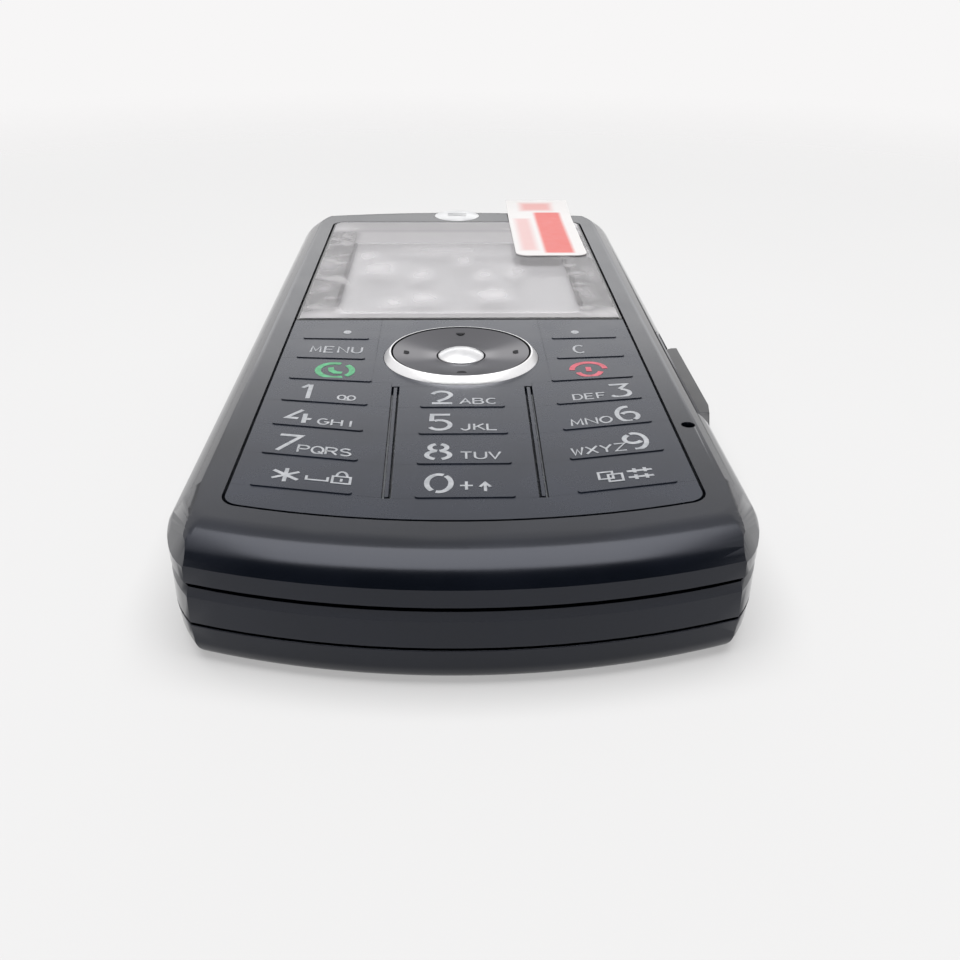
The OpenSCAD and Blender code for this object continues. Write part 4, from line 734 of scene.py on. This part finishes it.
def painted_pit_shade():
    """Four small marks round the dished ring, one for each way that it tips, placed by Geometry Nodes: flat black
    discs whose colour is painted shade standing in for pits.
    """
    tree = bpy.data.node_groups.new("marks_on_a_circle", "GeometryNodeTree")
    names = {}
    for name, kind in (("Mark radius", "NodeSocketFloat"), ("Circle radius", "NodeSocketFloat"),
                       ("Centre", "NodeSocketVector"), ("Finish", "NodeSocketMaterial")):
        names[name] = tree.interface.new_socket(name, in_out="INPUT", socket_type=kind).identifier
    tree.interface.new_socket("Geometry", in_out="OUTPUT", socket_type="NodeSocketGeometry")
    given = add(tree, "NodeGroupInput")
    circle = add(tree, "GeometryNodeMeshCircle", {"fill_type": "NONE"}, {
        "Vertices": 4, "Radius": given.outputs["Circle radius"]})
    disc = add(tree, "GeometryNodeMeshCylinder", {"fill_type": "NGON"}, {
        "Vertices": 20, "Radius": given.outputs["Mark radius"], "Depth": 0.06 * MM})
    spread = add(tree, "GeometryNodeInstanceOnPoints", links={"Points": circle, "Instance": disc})
    moved = add(tree, "GeometryNodeTransform", links={"Geometry": spread, "Translation": given.outputs["Centre"]})
    real = add(tree, "GeometryNodeRealizeInstances", links={"Geometry": moved})
    ended = add(tree, "GeometryNodeSetMaterial", links={"Geometry": real, "Material": given.outputs["Finish"]})
    add(tree, "NodeGroupOutput", links={0: ended})
    holder = new_object("marks_holder", bpy.data.meshes.new("marks_holder"))
    placed = holder.modifiers.new("marks", "NODES")
    placed.node_group = tree
    placed[names["Mark radius"]] = 0.52 * MM
    placed[names["Circle radius"]] = 6.1 * MM
    placed[names["Centre"]] = (0, NAV_Y * MM, 11.73 * MM)
    # The black finish on the discs is painted shade for the pits
    placed[names["Finish"]] = foam
    mesh = applied(holder)
    bpy.data.objects.remove(holder)
    shown("painted_pit_shade", mesh, foam, "nav_key")


painted_pit_shade()


def stage_mesh(name, corners, material):
    """A plain surface with four corners that isn't part of the phone."""
    mesh = bpy.data.meshes.new(name)
    mesh.from_pydata(corners, [], [(0, 1, 2, 3)])
    mesh.materials.append(material)
    piece = new_object(name, mesh)
    return piece


def reflected_card(name, corners, material):
    """A card that only reflections see."""
    card = stage_mesh(name, corners, material)
    card.visible_camera = card.visible_diffuse = card.visible_shadow = card.visible_transmission = False


def table_top():
    """White table: it fades into the white surroundings away from the phone, and keeps the shadow near it."""
    material, tree, place = begin("white_table")
    away = add(tree, "ShaderNodeVectorMath", {"operation": "LENGTH"}, {0: place})
    fade = add(tree, "ShaderNodeMapRange", {"interpolation_type": "SMOOTHSTEP"}, {
        "Value": away.outputs["Value"], "From Min": 0.09, "From Max": 0.32, "To Min": 0.42})
    mottle = add(tree, "ShaderNodeTexNoise", links={"Vector": place, "Scale": 20.0})
    tone = add(tree, "ShaderNodeMix", {"data_type": "RGBA"}, {0: mottle, 6: linear("#f3f3f3"), 7: linear("#f6f6f6")})
    solid = add(tree, "ShaderNodeBsdfDiffuse", links={"Color": tone.outputs[2]})
    clear = add(tree, "ShaderNodeBsdfTransparent")
    mixed = add(tree, "ShaderNodeMixShader", links={0: fade, 1: solid, 2: clear})
    add(tree, "ShaderNodeOutputMaterial", links={"Surface": mixed})
    stage_mesh("table_top", [(-0.5, -0.5, 0), (0.5, -0.5, 0), (0.5, 0.5, 0), (-0.5, 0.5, 0)], material)


def dark_card():
    """Dark card behind and above the camera."""
    material, tree, _ = begin("black_card")
    solid = add(tree, "ShaderNodeBsdfDiffuse", links={"Color": linear(CARD_BLACK)})
    add(tree, "ShaderNodeOutputMaterial", links={"Surface": solid})
    reflected_card("black_card", [(-0.7, -0.32, 0.62), (0.7, -0.32, 0.62), (0.7, -0.75, 0.25), (-0.7, -0.75, 0.25)],
                   material)


def far_card():
    """Grey gauze low beyond the far end: it dims what the flat face mirrors far off."""
    material, tree, place = begin("grey_gauze")
    apart = add(tree, "ShaderNodeSeparateXYZ", links={"Vector": place})
    dense = add(tree, "ShaderNodeMapRange", links={
        "Value": apart.outputs["Z"], "From Min": 0.14, "From Max": 0.27, "To Min": 0.6, "To Max": 0.0})
    solid = add(tree, "ShaderNodeBsdfDiffuse", links={"Color": linear(CARD_BLACK)})
    clear = add(tree, "ShaderNodeBsdfTransparent")
    mixed = add(tree, "ShaderNodeMixShader", links={0: dense, 1: clear, 2: solid})
    add(tree, "ShaderNodeOutputMaterial", links={"Surface": mixed})
    reflected_card("grey_gauze", [(-0.7, 0.8, 0.02), (0.7, 0.8, 0.02), (0.7, 0.8, 0.3), (-0.7, 0.8, 0.3)], material)


table_top()
dark_card()
far_card()

# White surroundings: full white to the camera and in reflections, and a plain fill light on matt surfaces
scene = bpy.context.scene
scene.world = bpy.data.worlds.new("white_surroundings")
scene.world.use_nodes = True
sky = scene.world.node_tree
sky.nodes.clear()
rays = add(sky, "ShaderNodeLightPath")
seen = add(sky, "ShaderNodeMath", {"operation": "MAXIMUM"}, {
    0: rays.outputs["Is Camera Ray"], 1: rays.outputs["Is Glossy Ray"]})
seen = add(sky, "ShaderNodeMath", {"operation": "MAXIMUM"}, {0: seen, 1: rays.outputs["Is Transmission Ray"]})
level = add(sky, "ShaderNodeMapRange", links={"Value": seen, "To Min": 0.14, "To Max": 1.0})
glow = add(sky, "ShaderNodeBackground", links={"Color": linear("#f7f6f6"), "Strength": level})
add(sky, "ShaderNodeOutputWorld", links={"Surface": glow})


def panel_light(name, width, height, watts, place, tip):
    """A plain rectangular lamp, tipped about X by that many degrees from facing down."""
    data = bpy.data.lights.new(name, "AREA")
    data.shape, data.size, data.size_y, data.energy = "RECTANGLE", width, height, watts
    light = new_object(name, data)
    light.location, light.rotation_euler = place, (math.radians(tip), 0, 0)


# Softbox overhead, which the rolled chin mirrors, and a low bright window beyond the far end
panel_light("overhead_softbox", 0.68, 0.5, 3.9, (0, -0.05, 0.6), 0)
panel_light("far_window", 0.9, 0.26, 0.95, (0, 0.9, 0.23), -90)

# Camera fitted to the photo: right, up and backward axes, then the place
camera = new_object("camera", bpy.data.cameras.new("camera"))
camera.data.lens = 38.86
camera.data.sensor_width = 36
camera.data.clip_start = 0.005
right, up = Vector((0.999624, -0.026662, 0.006287)), Vector((0.006676, 0.459714, 0.888038))
turned = Matrix((right, up, right.cross(up))).transposed().to_4x4()
camera.matrix_world = Matrix.Translation((-0.0010213, -0.119912, 0.050942)) @ turned
scene.camera = camera

scene.view_settings.view_transform = "Standard"
